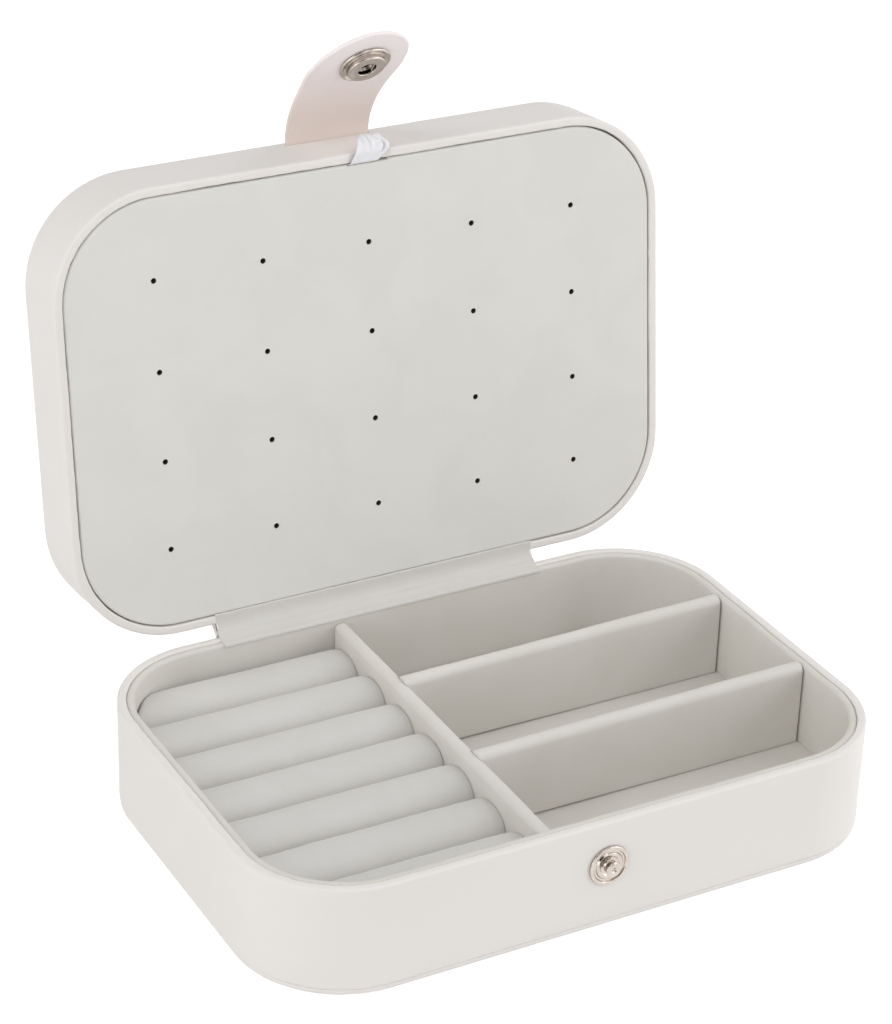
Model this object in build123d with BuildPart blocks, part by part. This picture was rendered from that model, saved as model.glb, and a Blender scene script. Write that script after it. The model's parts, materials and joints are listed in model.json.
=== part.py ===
# Travel jewelry box: a leather-wrapped base and lid that share one rounded outline,
# a flexible fabric hinge, velvet rolls and compartments, an earring board in the lid
# and a snap strap. The lid stands open at rest.
#
# Frame: origin at the centre of the base's underside, +X along the box's length,
# -Y towards the front (the snap side), +Z up. All sizes are in millimetres.

import os
from math import cos, degrees, radians, sin

from build123d import *

os.makedirs("parts", exist_ok=True)

# ---------------------------------------------------------------- sizes

# outline shared by base and lid
box_length = 165.0
box_depth = 114.0
corner_radius = 26.7
base_height = 28.4
lid_height = 19.6

# wrapped boards
shell_wall = 2.2
cover_board = 1.6
lid_cover_board = 2.6
cover_inset = 0.1
shell_edge_round = 0.8
seam_round = 0.4
liner_wall = 2.0
liner_drop = 0.2
liner_edge_round = 0.6
floor_board = 4.8

# dividers
divider_drop = 1.8
main_divider_x = -14.4
main_divider_thickness = 3.4
main_divider_round = 1.2
cross_divider_thickness = 4.2
cross_divider_round = 1.7
cross_divider_drop = 0.5
front_divider_y = -16.6
rear_divider_y = 20.8
divider_slot_depth = 0.9
divider_slot_side_gap = 0.4
divider_end_gap = 0.8
seat_gap = 0.15

# ring rolls
ring_roll_count = 7
ring_roll_crest_drop = 5.4
ring_roll_end_round = 2.2
ring_roll_gap = 0.1

# flexible hinge
hinge_x = -1.4
hinge_width = 89.6
hinge_pole_back = 1.6
hinge_pole_rise = 1.2
open_angle = 96.6
hinge_lining_thickness = 0.6
hinge_lining_bend = 5.0
hinge_spine_thickness = 0.8
hinge_spine_bend = 7.0
hinge_spine_reach = 13.0
hinge_pocket_gap = 0.2

# lid
parting_gap = 0.3
panel_recess = 0.2
panel_thickness = 3.0
panel_side_gap = 0.35
panel_edge_round = 0.7
earring_columns = 5
earring_rows = 4
earring_pitch_x = 28.5
earring_pitch_y = 22.9
earring_hole_radius = 0.75
lid_lining_thickness = 1.2

# ribbon tab of the earring board
ribbon_width = 10.4
ribbon_thickness = 0.4
ribbon_x = 0.6
ribbon_edge_reach = 0.4
ribbon_loop_lean = 3.0
ribbon_loop_rise = 3.2
ribbon_loop_return_lean = 0.6
ribbon_loop_return_rise = 2.5
ribbon_loop_bend = 0.5
ribbon_hidden_length = 9.0
ribbon_pocket_gap = 0.3
ribbon_bend = 0.35

# snap strap
strap_x = -0.8
strap_width = 22.6
strap_thickness = 1.2
strap_tip_flat = 0.1
strap_tail = 12.0
strap_tail_gap = 0.1
strap_droop_radius = 15.0
strap_droop_angle = 62.0
strap_lift_radius = 15.0
strap_lift_angle = 17.6
strap_flat_before_snap = 9.6
strap_flat_after_snap = 11.9
strap_pivot_reach = 1.7
strap_pivot_gap = 0.15

# snap fastener
stud_radius = 5.15
stud_disc = 0.7
stud_bevel = 0.35
stud_rim_width = 0.8
stud_well = 0.28
stud_well_slope = 0.3
stud_ring_radius = 3.3
stud_ring_width = 0.6
stud_neck_radius = 1.45
stud_neck_flare = 0.5
stud_head_radius = 1.95
stud_head_height = 3.2
stud_head_depth = 1.1
stud_head_crown = 0.6
stud_dimple_radius = 0.8
stud_dimple = 0.5
rivet_shank_radius = 1.3
rivet_flange_radius = 4.0
rivet_flange_thickness = 0.5
rivet_gap = 0.15
snap_seat_gap = 0.2
socket_radius = 6.5
socket_mouth_radius = 2.3
socket_shell = 0.45
socket_rim_thickness = 1.05
socket_rim_round = 0.4
socket_channel = 1.1
socket_collar_width = 0.45
socket_edge_bevel = 0.3
socket_chamber_radius = 4.4
cap_radius = 6.3
cap_height = 1.5
cap_edge = 0.3
cap_shoulder_radius = 3.8
cap_shoulder_height = 1.28
cap_metal = 0.5
cap_barrel_radius = 2.75
spring_wire_radius = 0.25
spring_side_gap = 0.1
spring_reach = 3.6
spring_bend = 1.3
spring_seat_gap = 0.05

# ---------------------------------------------------------------- worked-out places

front_y = -box_depth / 2
back_y = box_depth / 2
liner_inset = shell_wall + liner_wall
inner_length = box_length - 2 * liner_inset
inner_depth = box_depth - 2 * liner_inset
floor_top = cover_board + floor_board

# the lid's own plane: centre of its outline in the closed parting plane, z into the lid
hinge_pole = Vector(0, back_y + hinge_pole_back, base_height + hinge_pole_rise)
closed_centre = Vector(0, 0, base_height)
lid_origin = hinge_pole + (closed_centre - hinge_pole).rotate(Axis.X, -open_angle)
lid_up = Vector(0, sin(radians(open_angle)), cos(radians(open_angle)))
lid_plane = Plane(origin=lid_origin, x_dir=(1, 0, 0), z_dir=lid_up)
lid_axis = Axis(lid_origin, lid_up)

# heights in the lid, from the parting plane into the lid
lid_rim = parting_gap
panel_face = lid_rim + panel_recess
panel_back = panel_face + panel_thickness
lid_board_face = lid_height - lid_cover_board
lid_lining_face = lid_board_face - lid_lining_thickness
strap_level = lid_board_face - strap_thickness / 2


# A side section of the lid at x: its x is the lid's y, its y is the lid's z.
def lid_section(x):
    origin = lid_origin + Vector(x, 0, 0)
    return Plane(origin=origin, x_dir=lid_plane.y_dir, z_dir=(1, 0, 0))


# A plane through a fastener's axis: its y runs outward along the axis.
def axis_section(origin, outward):
    return Plane(origin=origin, x_dir=(1, 0, 0), z_dir=Vector(1, 0, 0).cross(outward))


# The box's rounded outline, drawn inset by a wall.
def footprint(inset, mode=Mode.ADD):
    RectangleRounded(
        box_length - 2 * inset, box_depth - 2 * inset, corner_radius - inset, mode=mode
    )


# A closed band between two insets of the outline.
def band(outer_inset, inner_inset):
    footprint(outer_inset)
    footprint(inner_inset, mode=Mode.SUBTRACT)


# ---------------------------------------------------------------- strap curve
# Drawn in the lid's side section. The strap leaves the seam under the top board level,
# droops in one arc, lifts again in a second and ends in a flat that holds the snap.

pivot_angle = degrees(strap_pivot_reach / strap_droop_radius)
with BuildLine() as strap_tail_line:
    Line((front_y + strap_tail, strap_level), (front_y, strap_level))
with BuildLine() as strap_root_line:
    root_arc = JernArc((front_y, strap_level), (-1, 0), strap_droop_radius, pivot_angle)
with BuildLine() as strap_free_line:
    droop_arc = JernArc(
        root_arc @ 1, root_arc % 1, strap_droop_radius, strap_droop_angle - pivot_angle
    )
    lift_arc = JernArc(droop_arc @ 1, droop_arc % 1, strap_lift_radius, -strap_lift_angle)
    flat_length = strap_flat_before_snap + strap_flat_after_snap
    Line(lift_arc @ 1, (lift_arc @ 1) + (lift_arc % 1) * flat_length)

strap_pivot = root_arc @ 1
snap_run = lift_arc % 1
snap_spot = (lift_arc @ 1) + snap_run * strap_flat_before_snap
snap_inward = snap_run.rotate(Axis.Z, 90)

# turning the strap by this much about its pivot hangs the snap's flat along the front wall
snap_turn = 90 - (strap_droop_angle - strap_lift_angle)
snapped_spot = strap_pivot + (snap_spot - strap_pivot).rotate(Axis.Z, snap_turn)
stud_height = base_height + snapped_spot.Y
snap_stack = front_y - snapped_spot.X
socket_height = snap_stack - strap_thickness / 2 - stud_disc - snap_seat_gap

snap_centre = lid_plane.from_local_coords(Vector(strap_x, snap_spot.X, snap_spot.Y))
snap_outward = -(lid_plane.y_dir * snap_inward.X + lid_plane.z_dir * snap_inward.Y)
snap_plane = Plane(origin=snap_centre, x_dir=(1, 0, 0), z_dir=snap_outward)
snap_axis = Axis(snap_centre, snap_outward)

print("stud height", round(stud_height, 2), "snap stack", round(snap_stack, 2))
print("socket height", round(socket_height, 2), "snap turn", round(snap_turn, 2))

# ---------------------------------------------------------------- base shell

# wrapped board under the base, set in a little so that a seam shows all round
with BuildPart() as base_bottom_panel:
    with BuildSketch():
        footprint(cover_inset)
    extrude(amount=cover_board)
    fillet(base_bottom_panel.faces().sort_by(Axis.Z)[0].edges(), shell_edge_round)
base_bottom_panel.part.label = "base_bottom_panel"
export_step(base_bottom_panel.part, "parts/base_bottom_panel.step")

# leather-wrapped wall of the base
with BuildPart() as base_frame:
    with BuildSketch(Plane.XY.offset(cover_board)):
        band(0, shell_wall)
    extrude(amount=base_height - cover_board)
    fillet(base_frame.faces().sort_by(Axis.Z)[-1].outer_wire().edges(), shell_edge_round)
    fillet(base_frame.faces().sort_by(Axis.Z)[0].outer_wire().edges(), seam_round)
    # hole and inner seat of the stud's rivet
    with BuildSketch(Plane.XZ.offset(-front_y)):
        with Locations((strap_x, stud_height)):
            Circle(rivet_shank_radius + rivet_gap)
    extrude(amount=-shell_wall, mode=Mode.SUBTRACT)
    with BuildSketch(Plane.XZ.offset(-front_y - shell_wall)):
        with Locations((strap_x, stud_height)):
            Circle(rivet_flange_radius + rivet_gap)
    extrude(amount=rivet_flange_thickness, mode=Mode.SUBTRACT)
    # the back rim is lowered where the hinge lining lies on it
    with BuildSketch(Plane.XY.offset(base_height)):
        with Locations((hinge_x, back_y - shell_wall / 2)):
            Rectangle(hinge_width + 2 * hinge_pocket_gap, 2 * shell_wall)
    extrude(amount=-hinge_lining_thickness, mode=Mode.SUBTRACT)
    # and the back face where the spine is glued to it
    with BuildSketch(Plane.XY.offset(base_height)):
        with Locations((hinge_x, back_y)):
            Rectangle(hinge_width + 2 * hinge_pocket_gap, 2 * hinge_spine_thickness)
    extrude(amount=-hinge_spine_reach, mode=Mode.SUBTRACT)
base_frame.part.label = "base_frame"
export_step(base_frame.part, "parts/base_frame.step")

# velvet-covered floor board
with BuildPart() as base_floor:
    with BuildSketch(Plane.XY.offset(cover_board)):
        footprint(shell_wall + seat_gap)
    extrude(amount=floor_board)
base_floor.part.label = "base_floor"
export_step(base_floor.part, "parts/base_floor.step")

# velvet-covered lining wall, standing on the floor board
with BuildPart() as base_liner:
    with BuildSketch(Plane.XY.offset(floor_top)):
        band(shell_wall, liner_inset)
    extrude(amount=base_height - liner_drop - floor_top)
    fillet(base_liner.faces().sort_by(Axis.Z)[-1].edges(), liner_edge_round)
    with BuildSketch(Plane.XY.offset(base_height)):
        with Locations((hinge_x, back_y - liner_inset)):
            Rectangle(hinge_width + 2 * hinge_pocket_gap, 3 * liner_inset)
    extrude(amount=-hinge_lining_thickness, mode=Mode.SUBTRACT)
base_liner.part.label = "base_liner"
export_step(base_liner.part, "parts/base_liner.step")

# ---------------------------------------------------------------- dividers

divider_right_face = main_divider_x + main_divider_thickness / 2
divider_left_face = main_divider_x - main_divider_thickness / 2
cross_divider_rows = {"front_divider": front_divider_y, "rear_divider": rear_divider_y}

# front-to-back divider with a slot for the end of each cross divider
with BuildPart() as main_divider:
    with BuildSketch(Plane.XY.offset(floor_top)):
        with Locations((main_divider_x, 0)):
            Rectangle(main_divider_thickness, inner_depth - 2 * seat_gap)
    extrude(amount=base_height - divider_drop - floor_top)
    top_edges = main_divider.faces().sort_by(Axis.Z)[-1].edges().filter_by(Axis.Y)
    fillet(top_edges, main_divider_round)
    with BuildSketch(Plane.XY.offset(floor_top)):
        with Locations([(divider_right_face, y) for y in cross_divider_rows.values()]):
            Rectangle(
                2 * divider_slot_depth, cross_divider_thickness + 2 * divider_slot_side_gap
            )
    extrude(amount=base_height, mode=Mode.SUBTRACT)
main_divider.part.label = "main_divider"
export_step(main_divider.part, "parts/main_divider.step")

# the two cross dividers stand in those slots and stop short of the right wall
cross_divider_left = divider_right_face - divider_slot_depth + seat_gap
cross_divider_right = inner_length / 2 - divider_end_gap
for divider_name, divider_y in cross_divider_rows.items():
    with BuildPart() as cross_divider:
        with BuildSketch(Plane.XY.offset(floor_top)):
            with Locations(((cross_divider_left + cross_divider_right) / 2, divider_y)):
                Rectangle(cross_divider_right - cross_divider_left, cross_divider_thickness)
        extrude(amount=base_height - cross_divider_drop - floor_top)
        top_edges = cross_divider.faces().sort_by(Axis.Z)[-1].edges().filter_by(Axis.X)
        fillet(top_edges, cross_divider_round)
    cross_divider.part.label = divider_name
    export_step(cross_divider.part, f"parts/{divider_name}.step")

# ---------------------------------------------------------------- ring rolls

# velvet-covered foam rolls side by side; the outer ones follow the liner's corners
ring_roll_pitch = (inner_depth - 2 * seat_gap) / ring_roll_count
ring_roll_radius = (ring_roll_pitch - ring_roll_gap) / 2
ring_roll_top = base_height - ring_roll_crest_drop
ring_roll_left = -inner_length / 2 + seat_gap
ring_roll_right = divider_left_face - seat_gap
for number in range(1, ring_roll_count + 1):
    roll_y = (number - (ring_roll_count + 1) / 2) * ring_roll_pitch
    with BuildPart() as ring_roll:
        with BuildSketch(Plane.YZ.offset(ring_roll_left)):
            with BuildLine():
                Polyline(
                    (roll_y - ring_roll_radius, ring_roll_top - ring_roll_radius),
                    (roll_y - ring_roll_radius, floor_top),
                    (roll_y + ring_roll_radius, floor_top),
                    (roll_y + ring_roll_radius, ring_roll_top - ring_roll_radius),
                )
                ThreePointArc(
                    (roll_y + ring_roll_radius, ring_roll_top - ring_roll_radius),
                    (roll_y, ring_roll_top),
                    (roll_y - ring_roll_radius, ring_roll_top - ring_roll_radius),
                )
            make_face()
        extrude(amount=ring_roll_right - ring_roll_left)
        end_arc = ring_roll.faces().sort_by(Axis.X)[-1].edges().filter_by(GeomType.CIRCLE)
        fillet(end_arc, ring_roll_end_round)
        with BuildSketch(Plane.XY):
            footprint(liner_inset + seat_gap)
        extrude(amount=base_height, mode=Mode.INTERSECT)
    ring_roll.part.label = f"ring_roll_{number}"
    export_step(ring_roll.part, f"parts/ring_roll_{number}.step")

# ---------------------------------------------------------------- stud on the front wall

stud_centre = Vector(strap_x, front_y, stud_height)
stud_outward = Vector(0, -1, 0)

# press stud: a ringed disc, a neck and a ball head with a dimple
with BuildPart() as snap_stud:
    with BuildSketch(axis_section(stud_centre, stud_outward)):
        with BuildLine():
            Polyline(
                (0, 0),
                (stud_radius, 0),
                (stud_radius, stud_disc - stud_bevel),
                (stud_radius - stud_bevel, stud_disc),
                (stud_radius - stud_rim_width, stud_disc),
                (stud_radius - stud_rim_width - stud_well_slope, stud_disc - stud_well),
                (stud_ring_radius + stud_well_slope, stud_disc - stud_well),
                (stud_ring_radius, stud_disc),
                (stud_ring_radius - stud_ring_width, stud_disc),
                (stud_neck_radius + stud_neck_flare, stud_disc - stud_well),
                (stud_neck_radius, stud_disc),
                (stud_neck_radius, stud_head_height - stud_head_depth),
            )
            Spline(
                (stud_neck_radius, stud_head_height - stud_head_depth),
                (stud_head_radius, stud_head_height - stud_head_crown),
                (stud_head_radius - stud_head_crown, stud_head_height),
                tangents=((0.5, 1), (-1, 0.1)),
            )
            Polyline(
                (stud_head_radius - stud_head_crown, stud_head_height),
                (stud_dimple_radius, stud_head_height),
                (0, stud_head_height - stud_dimple),
                (0, 0),
            )
        make_face()
    revolve(axis=Axis(stud_centre, stud_outward))
snap_stud.part.label = "snap_stud"
export_step(snap_stud.part, "parts/snap_stud.step")

# rivet that holds the stud: a shank through the wall and a flange sunk into its inside
with BuildPart() as stud_rivet:
    with BuildSketch(axis_section(stud_centre, stud_outward)):
        with BuildLine():
            Polyline(
                (0, 0),
                (rivet_shank_radius, 0),
                (rivet_shank_radius, -(shell_wall - rivet_flange_thickness)),
                (rivet_flange_radius, -(shell_wall - rivet_flange_thickness)),
                (rivet_flange_radius, -shell_wall),
                (0, -shell_wall),
                close=True,
            )
        make_face()
    revolve(axis=Axis(stud_centre, stud_outward))
stud_rivet.part.label = "stud_rivet"
export_step(stud_rivet.part, "parts/stud_rivet.step")

# ---------------------------------------------------------------- lid shell

# leather-wrapped wall of the lid
with BuildPart() as lid_frame:
    with BuildSketch(lid_plane.offset(lid_rim)):
        band(0, shell_wall)
    extrude(amount=lid_board_face - lid_rim)
    fillet(lid_frame.faces().sort_by(lid_axis)[0].outer_wire().edges(), shell_edge_round)
    fillet(lid_frame.faces().sort_by(lid_axis)[-1].outer_wire().edges(), seam_round)
    # the back of the rim is lowered where the hinge lining lies on it
    with BuildSketch(lid_plane.offset(lid_rim)):
        with Locations((hinge_x, back_y - shell_wall / 2)):
            Rectangle(hinge_width + 2 * hinge_pocket_gap, 2 * shell_wall)
    extrude(amount=hinge_lining_thickness, mode=Mode.SUBTRACT)
    # and the back face where the spine is glued to it
    with BuildSketch(lid_plane.offset(lid_rim)):
        with Locations((hinge_x, back_y)):
            Rectangle(hinge_width + 2 * hinge_pocket_gap, 2 * hinge_spine_thickness)
    extrude(amount=hinge_spine_reach, mode=Mode.SUBTRACT)
    # notch in the top edge for the strap's tail
    with BuildSketch(lid_plane.offset(lid_board_face)):
        with Locations((strap_x, front_y)):
            Rectangle(strap_width + 2 * strap_tail_gap, 4 * shell_wall)
    extrude(amount=-strap_thickness - strap_tail_gap, mode=Mode.SUBTRACT)
    # notch in the rim for the ribbon
    with BuildSketch(lid_plane.offset(lid_rim)):
        with Locations((ribbon_x, front_y)):
            Rectangle(ribbon_width + 2 * ribbon_pocket_gap, 4 * shell_wall)
    extrude(amount=ribbon_thickness + seat_gap, mode=Mode.SUBTRACT)
lid_frame.part.label = "lid_frame"
export_step(lid_frame.part, "parts/lid_frame.step")

# wrapped board that closes the top of the lid
with BuildPart() as lid_top_panel:
    with BuildSketch(lid_plane.offset(lid_board_face)):
        footprint(cover_inset)
    extrude(amount=lid_cover_board)
    fillet(lid_top_panel.faces().sort_by(lid_axis)[-1].edges(), shell_edge_round)
lid_top_panel.part.label = "lid_top_panel"
export_step(lid_top_panel.part, "parts/lid_top_panel.step")

# velvet-covered board inside the lid, cut out round the strap's tail
with BuildPart() as lid_lining:
    with BuildSketch(lid_plane.offset(lid_lining_face)):
        footprint(shell_wall + seat_gap)
        with Locations((strap_x, front_y + strap_tail / 2)):
            Rectangle(
                strap_width + 2 * strap_tail_gap,
                strap_tail + 2 * strap_tail_gap,
                mode=Mode.SUBTRACT,
            )
    extrude(amount=lid_lining_thickness)
lid_lining.part.label = "lid_lining"
export_step(lid_lining.part, "parts/lid_lining.step")

# velvet-covered ledge that the earring board rests on
with BuildPart() as lid_ledge:
    with BuildSketch(lid_plane.offset(panel_back)):
        band(shell_wall, liner_inset)
    extrude(amount=lid_lining_face - panel_back)
    # notch for the ribbon's hidden end
    with BuildSketch(lid_plane.offset(panel_back)):
        with Locations((ribbon_x, front_y + shell_wall)):
            Rectangle(ribbon_width + 2 * ribbon_pocket_gap, 4 * liner_wall)
    extrude(amount=ribbon_thickness + seat_gap, mode=Mode.SUBTRACT)
lid_ledge.part.label = "lid_ledge"
export_step(lid_ledge.part, "parts/lid_ledge.step")

# velvet-covered earring board with its grid of small holes
ribbon_gap_depth = ribbon_thickness + 2 * seat_gap - panel_side_gap
with BuildPart() as earring_panel:
    with BuildSketch(lid_plane.offset(panel_face)):
        footprint(shell_wall + panel_side_gap)
        # room for the ribbon at the front edge
        with Locations((ribbon_x, front_y + shell_wall + panel_side_gap)):
            Rectangle(
                ribbon_width + 2 * ribbon_pocket_gap, 2 * ribbon_gap_depth, mode=Mode.SUBTRACT
            )
        with GridLocations(
            earring_pitch_x, earring_pitch_y, earring_columns, earring_rows
        ):
            Circle(earring_hole_radius, mode=Mode.SUBTRACT)
    extrude(amount=panel_thickness)
    fillet(
        earring_panel.faces().sort_by(lid_axis)[0].outer_wire().edges(), panel_edge_round
    )
earring_panel.part.label = "earring_panel"
export_step(earring_panel.part, "parts/earring_panel.step")

# ribbon tab: glued behind the board, up its front edge and over the rim, where its loop
# leans out from the wall and comes back
ribbon_gap_y = front_y + shell_wall + (panel_side_gap + ribbon_gap_depth) / 2
with BuildPart() as panel_ribbon:
    with BuildSketch(lid_section(ribbon_x - ribbon_width / 2)):
        with BuildLine() as ribbon_path:
            FilletPolyline(
                (ribbon_gap_y + ribbon_hidden_length, panel_back + ribbon_thickness / 2),
                (ribbon_gap_y, panel_back + ribbon_thickness / 2),
                (ribbon_gap_y, lid_rim + ribbon_thickness / 2),
                (front_y - ribbon_edge_reach, lid_rim + ribbon_thickness / 2),
                (front_y - ribbon_loop_lean, lid_rim + ribbon_loop_rise),
                (front_y - ribbon_loop_return_lean, lid_rim + ribbon_loop_return_rise),
                radius=[ribbon_bend, ribbon_bend, ribbon_bend, ribbon_loop_bend],
            )
        trace(ribbon_path.line, line_width=ribbon_thickness)
    extrude(amount=ribbon_width)
panel_ribbon.part.label = "panel_ribbon"
export_step(panel_ribbon.part, "parts/panel_ribbon.step")

# ---------------------------------------------------------------- flexible hinge

lining_level = lid_rim + hinge_lining_thickness / 2
spine_level = back_y - hinge_spine_thickness / 2


# A point of the lid's side section, in the box's own y and z.
def lid_point(y, z):
    point = lid_plane.from_local_coords(Vector(0, y, z))
    return Vector(point.Y, point.Z)


# Where the lid's line through two points meets the line with a given y or z.
def meet(start, end, y=None, z=None):
    run = end - start
    share = (y - start.X) / run.X if z is None else (z - start.Y) / run.Y
    return start + run * share


# inner lining: along the base's back rim, across the gap and along the lid's rim
base_lining_level = base_height - hinge_lining_thickness / 2
lid_lining_start = lid_point(back_y, lining_level)
lid_lining_end = lid_point(back_y - shell_wall - panel_side_gap / 2, lining_level)
lining_corner = meet(lid_lining_start, lid_lining_end, z=base_lining_level)
with BuildPart() as hinge_lining:
    with BuildSketch(Plane.YZ.offset(hinge_x - hinge_width / 2)):
        with BuildLine() as lining_path:
            FilletPolyline(
                (back_y - liner_inset, base_lining_level),
                (lining_corner.X, lining_corner.Y),
                (lid_lining_end.X, lid_lining_end.Y),
                radius=hinge_lining_bend,
            )
        trace(lining_path.line, line_width=hinge_lining_thickness)
    extrude(amount=hinge_width)
hinge_lining.part.label = "hinge_lining"
export_step(hinge_lining.part, "parts/hinge_lining.step")

# outer spine: up the base's back wall, across the gap and along the lid's back wall
lid_spine_start = lid_point(spine_level, lid_rim)
lid_spine_end = lid_point(spine_level, lid_rim + hinge_spine_reach)
spine_corner = meet(lid_spine_start, lid_spine_end, y=spine_level)
with BuildPart() as hinge_spine:
    with BuildSketch(Plane.YZ.offset(hinge_x - hinge_width / 2)):
        with BuildLine() as spine_path:
            FilletPolyline(
                (spine_level, base_height - hinge_spine_reach),
                (spine_corner.X, spine_corner.Y),
                (lid_spine_end.X, lid_spine_end.Y),
                radius=hinge_spine_bend,
            )
        trace(spine_path.line, line_width=hinge_spine_thickness)
    extrude(amount=hinge_width)
hinge_spine.part.label = "hinge_spine"
export_step(hinge_spine.part, "parts/hinge_spine.step")

# ---------------------------------------------------------------- snap strap

# tail glued under the top board, ending in a hollow that the strap bends in
with BuildPart() as strap_tail_part:
    with BuildSketch(lid_section(strap_x - strap_width / 2)):
        trace(strap_tail_line.line, line_width=strap_thickness)
        trace(strap_root_line.line, line_width=strap_thickness)
        with Locations(strap_pivot):
            Circle(strap_thickness / 2 + strap_pivot_gap, mode=Mode.SUBTRACT)
    extrude(amount=strap_width)
strap_tail_part.part.label = "strap_tail"
export_step(strap_tail_part.part, "parts/strap_tail.step")

# free end with a round nose at the bend, a rounded tip and a hole for the snap
with BuildPart() as strap:
    with BuildSketch(lid_section(strap_x - strap_width / 2)):
        trace(strap_free_line.line, line_width=strap_thickness)
        with Locations(strap_pivot):
            Circle(strap_thickness / 2)
    extrude(amount=strap_width)
    tip_axis = Axis(snap_centre, lid_plane.y_dir * snap_run.X + lid_plane.z_dir * snap_run.Y)
    tip_corners = strap.faces().sort_by(tip_axis)[-1].edges().filter_by(snap_axis)
    fillet(tip_corners, strap_width / 2 - strap_tip_flat)
    with Locations(snap_plane):
        Hole(cap_barrel_radius + rivet_gap)
strap.part.label = "strap"
export_step(strap.part, "parts/strap.step")

# ---------------------------------------------------------------- socket and cap

strap_outer = strap_thickness / 2
strap_inner = -strap_thickness / 2
socket_face = strap_inner - socket_height
socket_rim_face = strap_inner - socket_rim_thickness
socket_collar_radius = socket_chamber_radius + socket_collar_width
chamber_top = strap_inner - socket_shell
chamber_bottom = socket_face + socket_shell

# socket under the strap: a rolled outer ring, a raised collar round the mouth and a
# chamber for the spring
with BuildPart() as snap_socket:
    with BuildSketch(axis_section(snap_centre, snap_outward)):
        with BuildLine():
            Polyline(
                (cap_barrel_radius, strap_inner),
                (socket_radius - socket_rim_round, strap_inner),
                (socket_radius, strap_inner - socket_rim_round),
                (socket_radius, socket_rim_face + socket_rim_round),
                (socket_radius - socket_rim_round, socket_rim_face),
                (socket_radius - socket_channel, strap_inner - socket_shell),
                (socket_collar_radius, strap_inner - socket_shell),
                (socket_collar_radius, socket_face + socket_edge_bevel),
                (socket_collar_radius - socket_edge_bevel, socket_face),
                (socket_mouth_radius + socket_edge_bevel, socket_face),
                (socket_mouth_radius, socket_face + socket_edge_bevel),
                (socket_mouth_radius, chamber_bottom),
                (socket_chamber_radius, chamber_bottom),
                (socket_chamber_radius, chamber_top),
                (cap_barrel_radius, chamber_top),
                close=True,
            )
        make_face()
    revolve(axis=snap_axis)
snap_socket.part.label = "snap_socket"
export_step(snap_socket.part, "parts/snap_socket.step")

# spring in the chamber: two wires that close in on the stud's neck, joined at one end
spring_half_gap = stud_neck_radius + spring_side_gap + spring_wire_radius
spring_level = chamber_bottom + spring_wire_radius + spring_seat_gap
spring_plane = snap_plane.offset(spring_level)
with BuildPart() as snap_spring:
    with BuildLine(spring_plane) as spring_path:
        FilletPolyline(
            (-spring_half_gap, -spring_reach),
            (-spring_half_gap, spring_reach),
            (spring_half_gap, spring_reach),
            (spring_half_gap, -spring_reach),
            radius=spring_bend,
        )
    with BuildSketch(Plane(spring_path.line @ 0, z_dir=spring_path.line % 0)):
        Circle(spring_wire_radius)
    sweep()
snap_spring.part.label = "snap_spring"
export_step(snap_spring.part, "parts/snap_spring.step")

# domed cap on the strap's outer side, with a hollow barrel through the strap
with BuildPart() as snap_cap:
    with BuildSketch(axis_section(snap_centre, snap_outward)):
        with BuildLine():
            Polyline(
                (socket_mouth_radius, strap_outer),
                (socket_mouth_radius, strap_inner),
                (cap_barrel_radius, strap_inner),
                (cap_barrel_radius, strap_outer),
                (cap_radius - cap_edge, strap_outer),
                (cap_radius, strap_outer + cap_edge),
            )
            Spline(
                (cap_radius, strap_outer + cap_edge),
                (cap_shoulder_radius, strap_outer + cap_shoulder_height),
                (0, strap_outer + cap_height),
                tangents=((-0.2, 1), (-1, 0)),
            )
            Polyline(
                (0, strap_outer + cap_height),
                (0, strap_outer + cap_height - cap_metal),
                (socket_mouth_radius, strap_outer),
            )
        make_face()
    revolve(axis=snap_axis)
snap_cap.part.label = "snap_cap"
export_step(snap_cap.part, "parts/snap_cap.step")
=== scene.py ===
import json
from math import cos, pi, radians, sin

import bpy
import numpy as np
from mathutils import Matrix, Vector


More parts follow.
